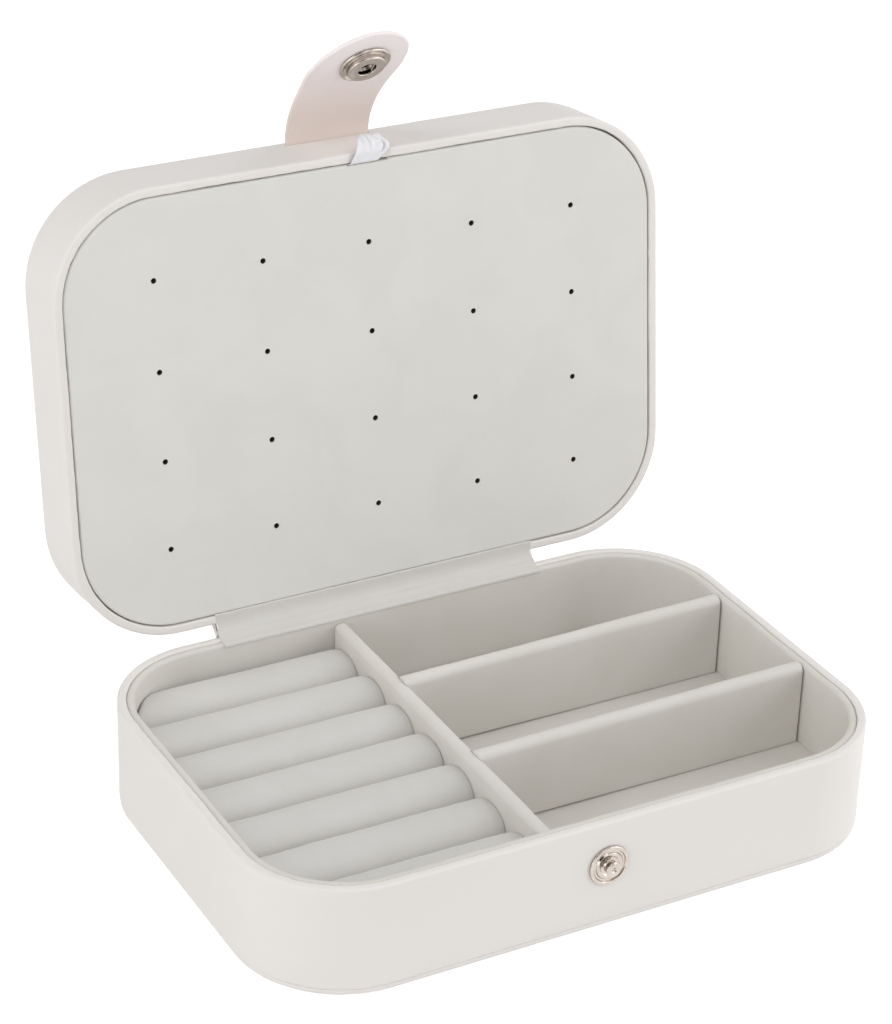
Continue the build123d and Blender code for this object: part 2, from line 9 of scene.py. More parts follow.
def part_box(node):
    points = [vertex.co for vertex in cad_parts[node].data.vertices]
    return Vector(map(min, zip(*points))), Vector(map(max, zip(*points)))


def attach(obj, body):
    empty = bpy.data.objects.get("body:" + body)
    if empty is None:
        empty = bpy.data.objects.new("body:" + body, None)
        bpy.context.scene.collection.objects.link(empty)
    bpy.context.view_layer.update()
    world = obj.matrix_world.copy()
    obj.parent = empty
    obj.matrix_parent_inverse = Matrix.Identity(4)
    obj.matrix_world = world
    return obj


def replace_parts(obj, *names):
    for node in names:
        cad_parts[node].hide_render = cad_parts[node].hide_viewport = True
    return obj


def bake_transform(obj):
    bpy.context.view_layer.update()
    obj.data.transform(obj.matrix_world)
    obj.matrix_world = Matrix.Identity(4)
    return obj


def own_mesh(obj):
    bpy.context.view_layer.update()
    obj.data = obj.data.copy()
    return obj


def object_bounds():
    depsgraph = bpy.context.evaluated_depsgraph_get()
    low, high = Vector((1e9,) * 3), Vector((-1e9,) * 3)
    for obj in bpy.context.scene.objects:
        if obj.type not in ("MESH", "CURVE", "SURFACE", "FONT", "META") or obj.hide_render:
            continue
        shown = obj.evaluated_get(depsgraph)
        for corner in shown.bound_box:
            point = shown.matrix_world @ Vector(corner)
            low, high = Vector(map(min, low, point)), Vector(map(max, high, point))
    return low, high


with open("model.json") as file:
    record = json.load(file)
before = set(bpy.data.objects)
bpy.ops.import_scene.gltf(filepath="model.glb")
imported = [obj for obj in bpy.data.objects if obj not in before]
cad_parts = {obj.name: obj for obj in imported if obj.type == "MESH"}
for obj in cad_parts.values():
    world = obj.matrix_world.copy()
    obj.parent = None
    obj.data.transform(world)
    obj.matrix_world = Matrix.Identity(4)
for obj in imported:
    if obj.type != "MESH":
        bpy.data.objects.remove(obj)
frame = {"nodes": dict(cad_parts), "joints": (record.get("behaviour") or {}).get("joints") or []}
cadLow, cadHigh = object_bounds()
print("jewelry box: frame loaded")

mm = 0.001  # shapes are worked out in millimetres and written in metres

# what base and lid share
box = {
    "cornerRadius": 26.7,
    "wall": 2.2,           # leather-wrapped board
    "liner": 2.0,          # velvet-covered board inside it
    "hingeX": -1.4,
    "hingeHalfWidth": 45.0,
    "liningDepth": 0.6,    # how far the rims are lowered under the hinge's lining
    "spineDepth": 0.8,     # how far the back walls are cut back under its spine
    "spineReach": 13.0,
    "lidRim": 0.3,         # the lid's rim and top, above its own parting plane
    "lidTop": 17.0,
}
lidRim, lidTop = box["lidRim"], box["lidTop"]


# A CAD node's lowest and highest corners in millimetres.
def nodeBox(node):
    return [np.array(corner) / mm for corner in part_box(node)]


wallLow, wallHigh = nodeBox("base_frame")
length, depth, baseHeight = wallHigh - wallLow
baseTop = wallHigh[2]
floorTop = nodeBox("base_floor")[1][2]

# the lid's own plane: its origin is the closed box's centre in the parting plane, turned
# open about the hinge
hinge = {joint["name"]: joint for joint in frame["joints"]}["lid_hinge"]
pole = np.array(hinge["pos_m"]) / mm
opened = -radians(hinge["range_deg"][1])
lidTurn = np.array([[1, 0, 0], [0, cos(opened), -sin(opened)], [0, sin(opened), cos(opened)]])
lidOrigin = pole + lidTurn @ (np.array([0, 0, baseTop]) - pole)


# Lid coordinates to box coordinates: the lid's origin plus its turned axes.
def toLid(points):
    return lidOrigin + np.asarray(points, float) @ lidTurn.T


# 0 before low, 1 after high, an even s-curve in between.
def smooth(value, low, high):
    t = np.clip((value - low) / (high - low), 0, 1)
    return t * t * (3 - 2 * t)


# Vectors divided by their own lengths.
def unit(vectors):
    return vectors / np.linalg.norm(vectors, axis=-1, keepdims=True)


# Distance along a line at each of its points: the lengths of its steps added up.
def runAlong(line):
    return np.concatenate([[0], np.cumsum(np.linalg.norm(np.diff(line, axis=0), axis=-1))])


# Sideways directions of a flat line: its direction turned a quarter round to the left.
def leftOf(line):
    run = unit(np.gradient(line, axis=0))
    return np.stack([-run[:, 1], run[:, 0]], -1)


# A full circle in even steps, without its end.
def fullTurn(steps):
    return np.linspace(0, 2 * pi, steps, endpoint=False)


# Unevenness from -1 to 1: sine waves of the given lengths in seeded directions, added up.
def ripple(seed, points, lengths):
    random = np.random.default_rng(seed)
    total = 0
    for wave in lengths:
        direction = unit(random.normal(size=3))
        total = total + np.sin(points @ direction * 2 * pi / wave + random.uniform(0, 2 * pi))
    return total / len(lengths)


# Crinkles that run on without a seam round a closed line: whole numbers of waves of share.
def crinkle(seed, share, counts):
    random = np.random.default_rng(seed)
    total = 0
    for count in counts:
        total = total + np.sin(2 * pi * (count * share + random.uniform()))
    return total / len(counts)


# Straight runs with their corners turned into arcs: a corner is cut back by radius over the
# tangent of half its angle, and the arc is drawn from its own centre. A corner that doesn't
# turn becomes two points side by side.
def roundedPath(corners, radii, spacings, closed=False, arcSteps=5):
    corners = np.array(corners, float)
    count = len(corners)
    arcs = []
    for k, here in enumerate(corners):
        if not closed and k in (0, count - 1):
            arcs.append(here[None])
            continue
        back, ahead = unit(corners[k - 1] - here), unit(corners[(k + 1) % count] - here)
        half = np.arccos(np.clip(back @ ahead, -1, 1)) / 2
        if pi / 2 - half < 1e-4:
            arcs.append(here + np.outer([0.01, -0.01], back))
            continue
        middle = here + unit(back + ahead) * radii[k] / sin(half)
        start = here + back * radii[k] / np.tan(half) - middle
        turn = (pi - 2 * half) * np.sign(back[1] * ahead[0] - back[0] * ahead[1])
        angle = np.arctan2(start[1], start[0]) + turn * np.linspace(0, 1, arcSteps)
        arcs.append(middle + radii[k] * np.stack([np.cos(angle), np.sin(angle)], -1))
    line = []
    for k in range(count if closed else count - 1):
        start, end = arcs[k][-1], arcs[(k + 1) % count][0]
        steps = max(1, round(np.linalg.norm(end - start) / spacings[k]))
        line += [arcs[k], start + (end - start) * np.arange(1, steps)[:, None] / steps]
    if not closed:
        line.append(arcs[-1])
    return np.concatenate(line)


# A mesh from a grid of points: station along a path by point round a section. Either way
# may close on itself. The first and last station are closed by caps: a "fan" about their
# mean point, or for sections that are bent a "ladder" from the section's first half to its
# second. Faces are turned outwards by the sign of the volume that they enclose.
def gridMesh(name, grid, closePath=False, closeSection=True, caps=None, uv=None, sharp=40):
    stations, around = grid.shape[:2]
    number = np.arange(stations * around).reshape(stations, around)
    i, j = np.meshgrid(
        np.arange(stations if closePath else stations - 1),
        np.arange(around if closeSection else around - 1),
        indexing="ij",
    )
    iNext, jNext = (i + 1) % stations, (j + 1) % around
    quads = [number[i, j], number[iNext, j], number[iNext, jNext], number[i, jNext]]
    quads = np.stack(quads, -1).reshape(-1, 4)
    points = grid.reshape(-1, 3)
    ends = np.zeros((0, 3), int)
    if caps == "fan":
        rim, rimNext = number[[0, -1]], np.roll(number[[0, -1]], -1, 1)
        middles = len(points) + np.repeat([[0], [1]], around, 1)
        ends = np.stack([rim, rimNext, middles], -1)
        ends = np.concatenate([ends[0], ends[1][:, [1, 0, 2]]])
        points = np.concatenate([points, grid[[0, -1]].mean(1)])
    if caps == "ladder":
        near, far = np.arange(around // 2 - 1), np.arange(around - 1, around // 2, -1)
        rungs = np.concatenate(
            [np.stack([near, near + 1, far], -1), np.stack([near + 1, far - 1, far], -1)]
        )
        ends = np.concatenate([number[0][rungs], number[-1][rungs[:, ::-1]]])
    a, b, c, d = (points[quads[:, k]] for k in range(4))
    e, f, g = (points[ends[:, k]] for k in range(3))
    inside = sum(np.sum(p * np.cross(q, r)) for p, q, r in ((a, b, c), (a, c, d), (e, f, g)))
    corners = np.stack([i, i + 1, i + 1, i], -1), np.stack([j, j, j + 1, j + 1], -1)
    if closeSection and inside < 0:
        quads, ends = quads[:, ::-1], ends[:, ::-1]
        corners = corners[0][..., ::-1], corners[1][..., ::-1]
    mesh = bpy.data.meshes.new(name)
    mesh.from_pydata((points * mm).tolist(), [], quads.tolist() + ends.tolist())
    if uv is not None:
        along, across = (np.asarray(x, float) * mm for x in uv)
        flat = np.stack([along[corners[0]], across[corners[1]]], -1).reshape(-1, 2)
        flat = np.concatenate([flat, np.zeros((ends.size, 2))])
        mesh.uv_layers.new(name="laid").data.foreach_set("uv", flat.astype(np.float32).ravel())
    mesh.shade_smooth()
    mesh.set_sharp_from_angle(angle=radians(sharp))
    mesh.update()
    piece = bpy.data.objects.new(name, mesh)
    bpy.context.scene.collection.objects.link(piece)
    return piece


# Outward directions of a grid: the cross product of its two differences.
def gridNormals(grid, closeSection=True):
    if closeSection:
        section = np.roll(grid, -1, 1) - np.roll(grid, 1, 1)
    else:
        section = np.gradient(grid, axis=1)
    normal = np.cross(np.gradient(grid, axis=0), section)
    return normal / np.maximum(np.linalg.norm(normal, axis=-1, keepdims=True), 1e-9)


# A closed loop of points moved inwards by each of the distances, along the loop's normals.
def insetLoop(loop, distances):
    run = np.roll(loop, -1, 0) - np.roll(loop, 1, 0)
    normal = unit(np.stack([run[:, 1], -run[:, 0]], -1))
    normal *= np.sign(((loop - loop.mean(0)) * normal).sum(-1).mean())
    return loop - normal * np.asarray(distances, float)[:, None, None]


# An sRGB hex code as linear colour, each channel by the standard's own curve.
def srgb(code):
    parts = [int(code[k : k + 2], 16) / 255 for k in (1, 3, 5)]
    return [p / 12.92 if p <= 0.04045 else ((p + 0.055) / 1.055) ** 2.4 for p in parts] + [1]


# Adds a node and gives it its inputs, by name or number: text is a setting of the node
# itself, a node or one of its sockets is linked, and anything else is a fixed value.
def addNode(material, kind, inputs=None):
    tree = material.node_tree
    node = tree.nodes.new("ShaderNode" + kind)
    for key, value in (inputs or {}).items():
        if isinstance(value, str):
            setattr(node, key, value)
        elif isinstance(value, bpy.types.Node):
            tree.links.new(value.outputs[0], node.inputs[key])
        elif isinstance(value, bpy.types.NodeSocket):
            tree.links.new(value, node.inputs[key])
        else:
            node.inputs[key].default_value = value
    return node


# An empty material, and the coordinates that its patterns read.
def newMaterial(name, place="Object"):
    material = bpy.data.materials.new(name)
    material.use_nodes = True
    material.node_tree.nodes.clear()
    return material, place and addNode(material, "TexCoord").outputs[place]


# The finished material: its shader joined to the surface.
def output(material, shader):
    addNode(material, "OutputMaterial", {"Surface": shader})
    return material


# The texture scale at which a pattern's features are size millimetres apart.
def scaleOf(size):
    return 1 / (size * mm)


bandsPerUnit = 3.18  # a wave texture draws so many bands per unit at a scale of 1


# Polyurethane leather, embossed and matt: a soft broad shine, a fine pebble that only shows
# close up, and a slow drift of tone where it was stretched over the board.
def leather(name, look):
    m, place = newMaterial(name, look["place"])
    drift = addNode(m, "TexNoise", {
        "Scale": scaleOf(look["drift"]), "Detail": 2.0, "Roughness": 0.5, "Vector": place,
    })
    tone = addNode(m, "Mix", {
        "data_type": "RGBA", 0: drift, 6: srgb(look["colour"]), 7: srgb(look["shade"]),
    })
    if "tip" in look:
        # painted light: paler towards a strap's end, for the light its downturned end catches
        # from the floor and the front
        along = addNode(m, "SeparateXYZ", {0: place})
        share = addNode(m, "MapRange", {
            "interpolation_type": "SMOOTHSTEP", "Value": along,
            "From Min": look["tipFrom"] * mm, "From Max": look["tipTo"] * mm,
        })
        tone = addNode(m, "Mix", {
            "data_type": "RGBA", 0: share, 6: tone.outputs[2], 7: srgb(look["tip"]),
        })
    pebble = addNode(m, "TexVoronoi", {
        "feature": "SMOOTH_F1", "Scale": scaleOf(look["grain"]), "Smoothness": 0.6,
        "Randomness": 0.9, "Vector": place,
    })
    crease = addNode(m, "TexNoise", {
        "Scale": scaleOf(look["crease"]), "Detail": 4.0, "Roughness": 0.62, "Distortion": 0.4,
        "Vector": place,
    })
    gloss = addNode(m, "MapRange", {
        "Value": crease, "From Min": 0.3, "From Max": 0.7,
        "To Min": look["roughness"] - 0.05, "To Max": look["roughness"] + 0.06,
    })
    fine = addNode(m, "Bump", {
        "Strength": look["relief"], "Distance": 0.05 * mm, "Height": pebble,
    })
    relief = addNode(m, "Bump", {
        "Strength": look["relief"], "Distance": 0.12 * mm, "Height": crease, "Normal": fine,
    })
    return output(m, addNode(m, "BsdfPrincipled", {
        "Base Color": tone.outputs[2], "Roughness": gloss, "IOR": 1.5, "Specular IOR Level": 0.4,
        "Normal": relief,
    }))


# Short-pile velvet: no shine but a pale bloom at the edges of a form, lighter and darker
# patches where the nap lies differently, and a pile too fine to see, drawn at 0.4 mm.
def velvet(name, look):
    m, place = newMaterial(name)
    nap = addNode(m, "TexNoise", {
        "Scale": scaleOf(look["nap"]), "Detail": 3.0, "Roughness": 0.55, "Distortion": 0.6,
        "Vector": place,
    })
    patch = addNode(m, "MapRange", {
        "interpolation_type": "SMOOTHSTEP", "Value": nap, "From Min": 0.35, "From Max": 0.65,
    })
    tone = addNode(m, "Mix", {
        "data_type": "RGBA", 0: patch, 6: srgb(look["colour"]), 7: srgb(look["shade"]),
    })
    pile = addNode(m, "TexNoise", {
        "Scale": scaleOf(look["pile"]), "Detail": 2.0, "Roughness": 0.7, "Vector": place,
    })
    speck = addNode(m, "Mix", {
        "data_type": "RGBA", "blend_type": "SOFT_LIGHT", 0: look["speck"],
        6: tone.outputs[2], 7: pile.outputs[1],
    })
    relief = addNode(m, "Bump", {
        "Strength": look["relief"], "Distance": 0.1 * mm, "Height": pile,
    })
    return output(m, addNode(m, "BsdfPrincipled", {
        "Base Color": speck.outputs[2], "Roughness": 0.95, "Specular IOR Level": 0.15,
        "Sheen Weight": look["bloom"], "Sheen Roughness": 0.45,
        "Sheen Tint": srgb(look["colour"]), "Normal": relief,
    }))


# Woven cotton tape: two threads over and under, which gives a dull, faintly ribbed face.
def clothTape(name, look):
    m, place = newMaterial(name, "UV")
    warp, weft = (
        addNode(m, "TexWave", {
            "bands_direction": way, "Scale": scaleOf(look["thread"]) / bandsPerUnit,
            "Distortion": 0.6, "Detail": 1.0, "Vector": place,
        })
        for way in "XY"
    )
    weave = addNode(m, "Math", {"operation": "MULTIPLY", 0: warp.outputs[1], 1: weft.outputs[1]})
    drift = addNode(m, "TexNoise", {
        "Scale": scaleOf(look["drift"]), "Detail": 2.0, "Vector": place,
    })
    tone = addNode(m, "Mix", {
        "data_type": "RGBA", 0: drift, 6: srgb(look["colour"]), 7: srgb(look["shade"]),
    })
    relief = addNode(m, "Bump", {"Strength": 0.25, "Distance": 0.08 * mm, "Height": weave})
    return output(m, addNode(m, "BsdfPrincipled", {
        "Base Color": tone.outputs[2], "Roughness": 0.85, "Specular IOR Level": 0.25,
        "Sheen Weight": 0.15, "Normal": relief,
    }))


# Polyester satin ribbon: threads that float lengthwise, so it is bright and slightly cool
# where it faces the light and falls off quickly in its folds.
def satin(name, look):
    m, place = newMaterial(name, "UV")
    thread = addNode(m, "TexWave", {
        "bands_direction": "Y", "Scale": scaleOf(look["thread"]) / bandsPerUnit,
        "Distortion": 1.2, "Detail": 2.0, "Vector": place,
    }).outputs[1]
    tone = addNode(m, "Mix", {
        "data_type": "RGBA", 0: thread, 6: srgb(look["shade"]), 7: srgb(look["colour"]),
    })
    relief = addNode(m, "Bump", {"Strength": 0.2, "Distance": 0.05 * mm, "Height": thread})
    return output(m, addNode(m, "BsdfPrincipled", {
        "Base Color": tone.outputs[2], "Roughness": 0.38, "Specular IOR Level": 0.6,
        "Sheen Weight": 0.3, "Normal": relief,
    }))


# Nickel-plated stamped brass: a warm grey mirror with rubbed, slightly duller patches.
def plate(name, look):
    m, place = newMaterial(name)
    rub = addNode(m, "TexNoise", {
        "Scale": scaleOf(look["rub"]), "Detail": 4.0, "Roughness": 0.6, "Vector": place,
    })
    gloss = addNode(m, "MapRange", {
        "Value": rub, "From Min": 0.35, "From Max": 0.7,
        "To Min": look["roughness"] * 0.7, "To Max": look["roughness"] * 1.6,
    })
    tone = addNode(m, "Mix", {
        "data_type": "RGBA", 0: rub, 6: srgb(look["colour"]), 7: srgb(look["shade"]),
    })
    return output(m, addNode(m, "BsdfPrincipled", {
        "Base Color": tone.outputs[2], "Metallic": 1.0, "Roughness": gloss,
    }))


# Raw grey board where it was pierced: dull brown paper fibre, darker in its depth.
def rawBoard(name, look):
    m, place = newMaterial(name)
    fibre = addNode(m, "TexNoise", {
        "Scale": scaleOf(look["fibre"]), "Detail": 3.0, "Vector": place,
    })
    tone = addNode(m, "Mix", {
        "data_type": "RGBA", 0: fibre, 6: srgb(look["colour"]), 7: srgb(look["shade"]),
    })
    return output(m, addNode(m, "BsdfPrincipled", {
        "Base Color": tone.outputs[2], "Roughness": 0.95, "Specular IOR Level": 0.1,
    }))


# Matt white paper: it throws light back up, and shows as white with a soft shadow on it. What
# it glows with reaches only the camera and reflections.
def whitePaper(name, look):
    m, place = newMaterial(name)
    fibre = addNode(m, "TexNoise", {"Scale": 900.0, "Detail": 2.0, "Vector": place})
    tone = addNode(m, "Mix", {
        "data_type": "RGBA", 0: fibre, 6: srgb(look["colour"]), 7: srgb(look["shade"]),
    })
    face = addNode(m, "BsdfDiffuse", {"Color": tone.outputs[2]})
    rays = addNode(m, "LightPath").outputs
    seen = addNode(m, "Math", {
        "operation": "MAXIMUM", 0: rays["Is Camera Ray"], 1: rays["Is Glossy Ray"],
    })
    lift = addNode(m, "Math", {"operation": "MULTIPLY", 0: seen, 1: look["glow"]})
    glow = addNode(m, "Emission", {"Strength": lift})
    return output(m, addNode(m, "AddShader", {0: face, 1: glow}))


# sizes in millimetres: drift and nap are patches of tone, the rest grain, thread or fibre
skin = {"drift": 20, "grain": 0.55, "crease": 3.0, "roughness": 0.55, "relief": 0.12}
# painted light: the strap is drawn paler towards its free end, standing in for the light it
# catches from below and in front
paintedTipLight = {"tip": "#FBF2F3", "tipFrom": 12, "tipTo": 46}
pile = {"pile": 0.4, "speck": 0.08, "relief": 0.2, "bloom": 0.3}
finishes = {
    "wrap": leather("matt_white_pu_leather", skin | {
        "place": "Object", "colour": "#ECE8E5", "shade": "#E8E4E0",
        "drift": 34, "roughness": 0.58, "relief": 0.1,
    }),
    "spine": leather("spine_pu_leather", skin | {
        "place": "UV", "colour": "#EBE6E3", "shade": "#E6E1DD",
    }),
    "strap": leather("strap_pu_leather", skin | paintedTipLight | {
        "place": "UV", "colour": "#E6D9D2", "shade": "#E1D3CB",
    }),
    "board": velvet("board_velvet", pile | {
        "colour": "#E4E3DF", "shade": "#E1E0DB", "nap": 22,
        "speck": 0.06, "relief": 0.15, "bloom": 0.25,
    }),
    "velvet": velvet("lining_velvet", pile | {
        "colour": "#DCD9D4", "shade": "#D9D6D0", "nap": 26,
    }),
    "roll": velvet("roll_velvet", pile | {
        "colour": "#D4D2CF", "shade": "#D1CFCB", "nap": 20,
    }),
    "tape": clothTape("woven_hinge_tape", {
        "colour": "#D9D7D4", "shade": "#D4D1CC", "thread": 0.45, "drift": 12,
    }),
    "ribbon": satin("white_satin_ribbon", {
        "colour": "#F1F2F1", "shade": "#DEDDE6", "thread": 0.35,
    }),
    "core": rawBoard("raw_grey_board", {"colour": "#6A584A", "shade": "#57473B", "fibre": 0.6}),
    "nickel": plate("bright_nickel_plate", {
        "colour": "#DEDAD6", "shade": "#D0CAC5", "rub": 2.5, "roughness": 0.12,
    }),
    # painted shade: stud, socket and spring get a darker nickel than the cap, standing in for the
    # darker surroundings they reflect
    "nickelPaintedShade": plate("nickel_plate_painted_shade", {
        "colour": "#CDC5BD", "shade": "#A89E96", "rub": 1.6, "roughness": 0.15,
    }),
}


# Gives a piece one of the finishes.
def finish(piece, material):
    piece.data.materials.append(finishes[material])
    return piece


print("jewelry box: materials made")

# the outline that base and lid share, by arc length from the middle of the front
halfLength, halfDepth = length / 2 - box["cornerRadius"], depth / 2 - box["cornerRadius"]
quarter, side = pi / 2 * box["cornerRadius"], 2 * halfDepth
knots = np.cumsum(
    [0, halfLength, quarter, side, quarter, 2 * halfLength, quarter, side, quarter, halfLength]
)
perimeter = knots[-1]


# Where the outline's core (the rectangle of the corners' centres) and outward direction are
# at each arc length, and how far round a corner. A point inset by d is core + outward *
# (corner radius - d).
def outlineAt(s):
    a, h = halfLength, halfDepth
    coreX = np.interp(s, knots, [0, a, a, a, a, -a, -a, -a, -a, 0])
    coreY = np.interp(s, knots, [-h, -h, -h, h, h, h, h, -h, -h, -h])
    angle = np.interp(s, knots, np.radians([-90, -90, 0, 0, 90, 90, 180, 180, 270, 270]))
    outward = np.stack([np.cos(angle), np.sin(angle)], -1)
    return np.stack([coreX, coreY], -1), outward, np.abs(np.sin(2 * angle))


# Arc length of a place on the straight back: from the back's first corner towards -x.
def backAt(x):
    return knots[4] + halfLength - x


# Stations round the outline, evenly spaced, doubled at the marks.
def stationsRound(spacing, marks):
    even = np.linspace(0, perimeter, round(perimeter / spacing), endpoint=False)
    pairs = (np.array(marks)[:, None] + [-0.01, 0.01]).ravel() % perimeter
    return np.unique(np.concatenate([even, knots[:-1], pairs]))


# Between two marks on the closed outline.
def between(s, low, high):
    return (s - low) % perimeter < (high - low) % perimeter


hingeMarks = [backAt(box["hingeX"] + end * box["hingeHalfWidth"]) for end in (1, -1)]


# How far the seam between leather and liner wanders, all round: slow waves and small ones.
def seamWave(s):
    slow = crinkle(3, s / perimeter, [5, 9, 14, 23])
    small = crinkle(4, s / perimeter, [61, 83, 117])
    return 0.13 * slow + 0.05 * small


# A wall carried round the outline. The section is inset by height below the rim, place puts
# the height into base or lid, and shape changes the inset and height at each station.
def carryRound(s, section, place, shape):
    core, outward, corner = outlineAt(s)
    inset = np.broadcast_to(section[:, 0], (len(s), len(section))).copy()
    height = np.broadcast_to(section[:, 1], inset.shape).copy()
    inset, height = shape(s[:, None], corner[:, None], inset, height)
    flat = core[:, None] + outward[:, None] * (box["cornerRadius"] - inset)[..., None]
    return place(flat, height)


# In the base, height counts down from the rim; in the lid, up from it along the lid's axis.
def placeInBase(flat, height):
    return np.concatenate([flat, (baseTop - height)[..., None]], -1)


def placeInLid(flat, height):
    return toLid(np.concatenate([flat, (lidRim + height)[..., None]], -1))


# Leather pulled over a board's edge and glued down inside: a rounded rim, gathered into fine
# crinkles that are deepest in the corners, and a slight swell between board and skin.
wrapLook = {
    "rimRound": 0.7,
    "foldRound": 0.45,
    "seamRound": 0.3,
    "crinkle": 0.07,       # height of the gathers on the straight sides
    "cornerCrinkle": 0.13,
    "gathers": ([389, 433, 521], [97, 139, 211]),  # fine and broad, counted round the box
    "fold": 0.05,          # unevenness of the glued edge
    "foldWaves": [301, 367, 431],
    "swell": 0.07,
    "swellWaves": [7, 13, 19],
    "spacing": 0.55,
}


# Each unevenness is its depth times sine waves round the box, faded in and out with smooth
# over the height and inset at which the real leather has it.
def wrappedWall(name, height, place, seed, extraMarks, notch):
    look, wall, reach = wrapLook, box["wall"], box["spineReach"]
    section = roundedPath(
        [(wall, height), (wall, 0), (0, 0), (0, reach), (0, height)],
        [0.3, look["foldRound"], look["rimRound"], 0, look["seamRound"]],
        [4.0, 0.3, 1.6, 1.8, 1.1],
        closed=True,
    )
    s = stationsRound(look["spacing"], hingeMarks + extraMarks)

    def shape(s, corner, inset, h):
        share = s / perimeter
        folded = look["fold"] * crinkle(seed, share, look["foldWaves"])
        inset = inset + smooth(inset, 0.9, wall - 0.2) * (seamWave(s) + folded)
        fine, broad = (crinkle(seed + 1 + k, share, look["gathers"][k]) for k in (0, 1))
        deep = look["crinkle"] + (look["cornerCrinkle"] - look["crinkle"]) * corner
        nearRim = (1 - smooth(h, 0.1, 3.5)) * (h < height - 1)
        overRim = 0.35 + 0.65 * smooth(inset, 0.3, 1.6)
        h = h + deep * nearRim * overRim * (0.6 * fine + 0.4 * broad)
        slack = 0.6 * crinkle(seed + 3, share, look["swellWaves"])
        slack = slack + 0.4 * np.sin(h / height * pi * 2 + share * 40)
        midway = smooth(h, 1.0, 5.0) * (1 - smooth(h, height - 4, height - 0.5))
        inset = inset - look["swell"] * slack * (inset < 0.5) * midway
        inHinge = between(s, *hingeMarks)
        h = np.where(inHinge, np.maximum(h, box["liningDepth"]), h)
        inset = np.where(inHinge & (h < reach), np.maximum(inset, box["spineDepth"]), inset)
        return notch(s, inset, h)

    return gridMesh(name, carryRound(s, section, place, shape), closePath=True)


# The base's wall has no notches.
def noNotch(s, inset, h):
    return inset, h


baseWrap = wrappedWall("base_wrap", baseHeight, placeInBase, 10, [], noNotch)
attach(finish(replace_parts(baseWrap, "base_frame"), "wrap"), "base")

# where strap and ribbon pass: cut-outs in the lid's top edge and a dip in its rim
lidNotches = {
    "strapX": -2.57, "strapHalf": 11.4, "strapDepth": 1.3,
    "ribbonFrom": -4.2, "ribbonTo": 5.6, "ribbonFade": 1.2, "ribbonDepth": 0.5,
}
strapMarks = [lidNotches["strapX"] + end * lidNotches["strapHalf"] for end in (-1, 1)]


# Heights are cut off above the strap's notch, and pressed down in an s-curve at the ribbon.
def lidNotch(s, inset, h):
    low, high, fade = (lidNotches["ribbon" + key] for key in ("From", "To", "Fade"))
    underStrap = np.minimum(h, lidTop - lidRim - lidNotches["strapDepth"])
    h = np.where(between(s, *strapMarks), underStrap, h)
    x = np.where(s > perimeter / 2, s - perimeter, s)
    dip = smooth(x, low - fade, low) * (1 - smooth(x, high, high + fade))
    return inset, np.maximum(h, lidNotches["ribbonDepth"] * dip * (1 - smooth(h, 1, 4)))


lidWrap = wrappedWall("lid_wrap", lidTop - lidRim, placeInLid, 20, strapMarks, lidNotch)
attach(finish(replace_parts(lidWrap, "lid_frame"), "wrap"), "lid")

# Velvet drawn over the lining board: both top edges soft, the inner face a little uneven.
linerLook = {
    "drop": 0.2, "edgeRound": 0.85, "gap": 0.03, "spacing": 0.9,
    "uneven": 0.1, "unevenWaves": [6, 17, 29, 43],
    "sag": 0.1, "sagWaves": [11, 27, 46],
}


# Its outer face follows the seam, its inner face and top get waves of their own.
def linerShape(s, corner, inset, h):
    look, share = linerLook, s / perimeter
    outer = 1 - smooth(inset, box["wall"] + 0.2, box["wall"] + 1.4)
    inset = inset + outer * (seamWave(s) + look["gap"])
    inset = inset + (1 - outer) * look["uneven"] * crinkle(32, share, look["unevenWaves"])
    h = h + look["sag"] * crinkle(33, share, look["sagWaves"]) * (1 - smooth(h, 0, 6))
    return inset, np.where(between(s, *hingeMarks), np.maximum(h, box["liningDepth"]), h)


linerFront, linerBack = box["wall"] + box["liner"], box["wall"]
foot, rim = baseTop - floorTop, linerLook["drop"]
linerSection = roundedPath(
    [(linerFront, foot), (linerFront, rim), (linerBack, rim), (linerBack, foot)],
    [0.2, linerLook["edgeRound"], linerLook["edgeRound"], 0.2],
    [2.2, 0.25, 5.0, 1.0],
    closed=True,
)
linerStations = stationsRound(linerLook["spacing"], hingeMarks)
linerGrid = carryRound(linerStations, linerSection, placeInBase, linerShape)
baseLiner = gridMesh("base_liner_velvet", linerGrid, closePath=True)
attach(finish(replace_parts(baseLiner, "base_liner"), "velvet"), "base")
print("jewelry box: walls made")

# Velvet-wrapped dividers: a rounded top, soft edges and a face that isn't quite flat.
dividerLook = {
    "topRound": 1.35,
    "crossTopRound": 1.95,
    "footRound": 0.55,
    "endRound": 0.5,
    "spacing": 1.6,
    "uneven": 0.09,
    "waves": [9, 14, 23, 31],
    "slotHalf": 2.5,       # half width and depth of the main divider's slots
    "slotDepth": 0.9,
    "tilt": (-0.4, 0.7),   # how high a cross divider's top stands at its left and right ends
    "footLift": 0.4,       # how far its foot stands off the floor at the left
    "reach": 0.4,          # how much nearer its right end comes to the liner
}


# A section in (across, up) carried along a line from start to end, drawn in towards both
# ends by a quarter round.
def bar(section, start, end, place, marks):
    r = dividerLook["endRound"]
    tip = r * (1 - np.cos(np.linspace(0, pi / 2, 6)))
    even = np.arange(start + r, end - r, dividerLook["spacing"])
    pairs = [m + d for m in marks for d in (-0.01, 0.01)]
    t = np.unique(np.concatenate([start + tip, even, end - tip, pairs]))
    e = np.minimum(np.minimum(t - start, end - t), r)
    loops = insetLoop(section, r - np.sqrt(np.maximum(r * r - (r - e) ** 2, 0)))
    return place(loops, np.broadcast_to(t[:, None], loops.shape[:2]))


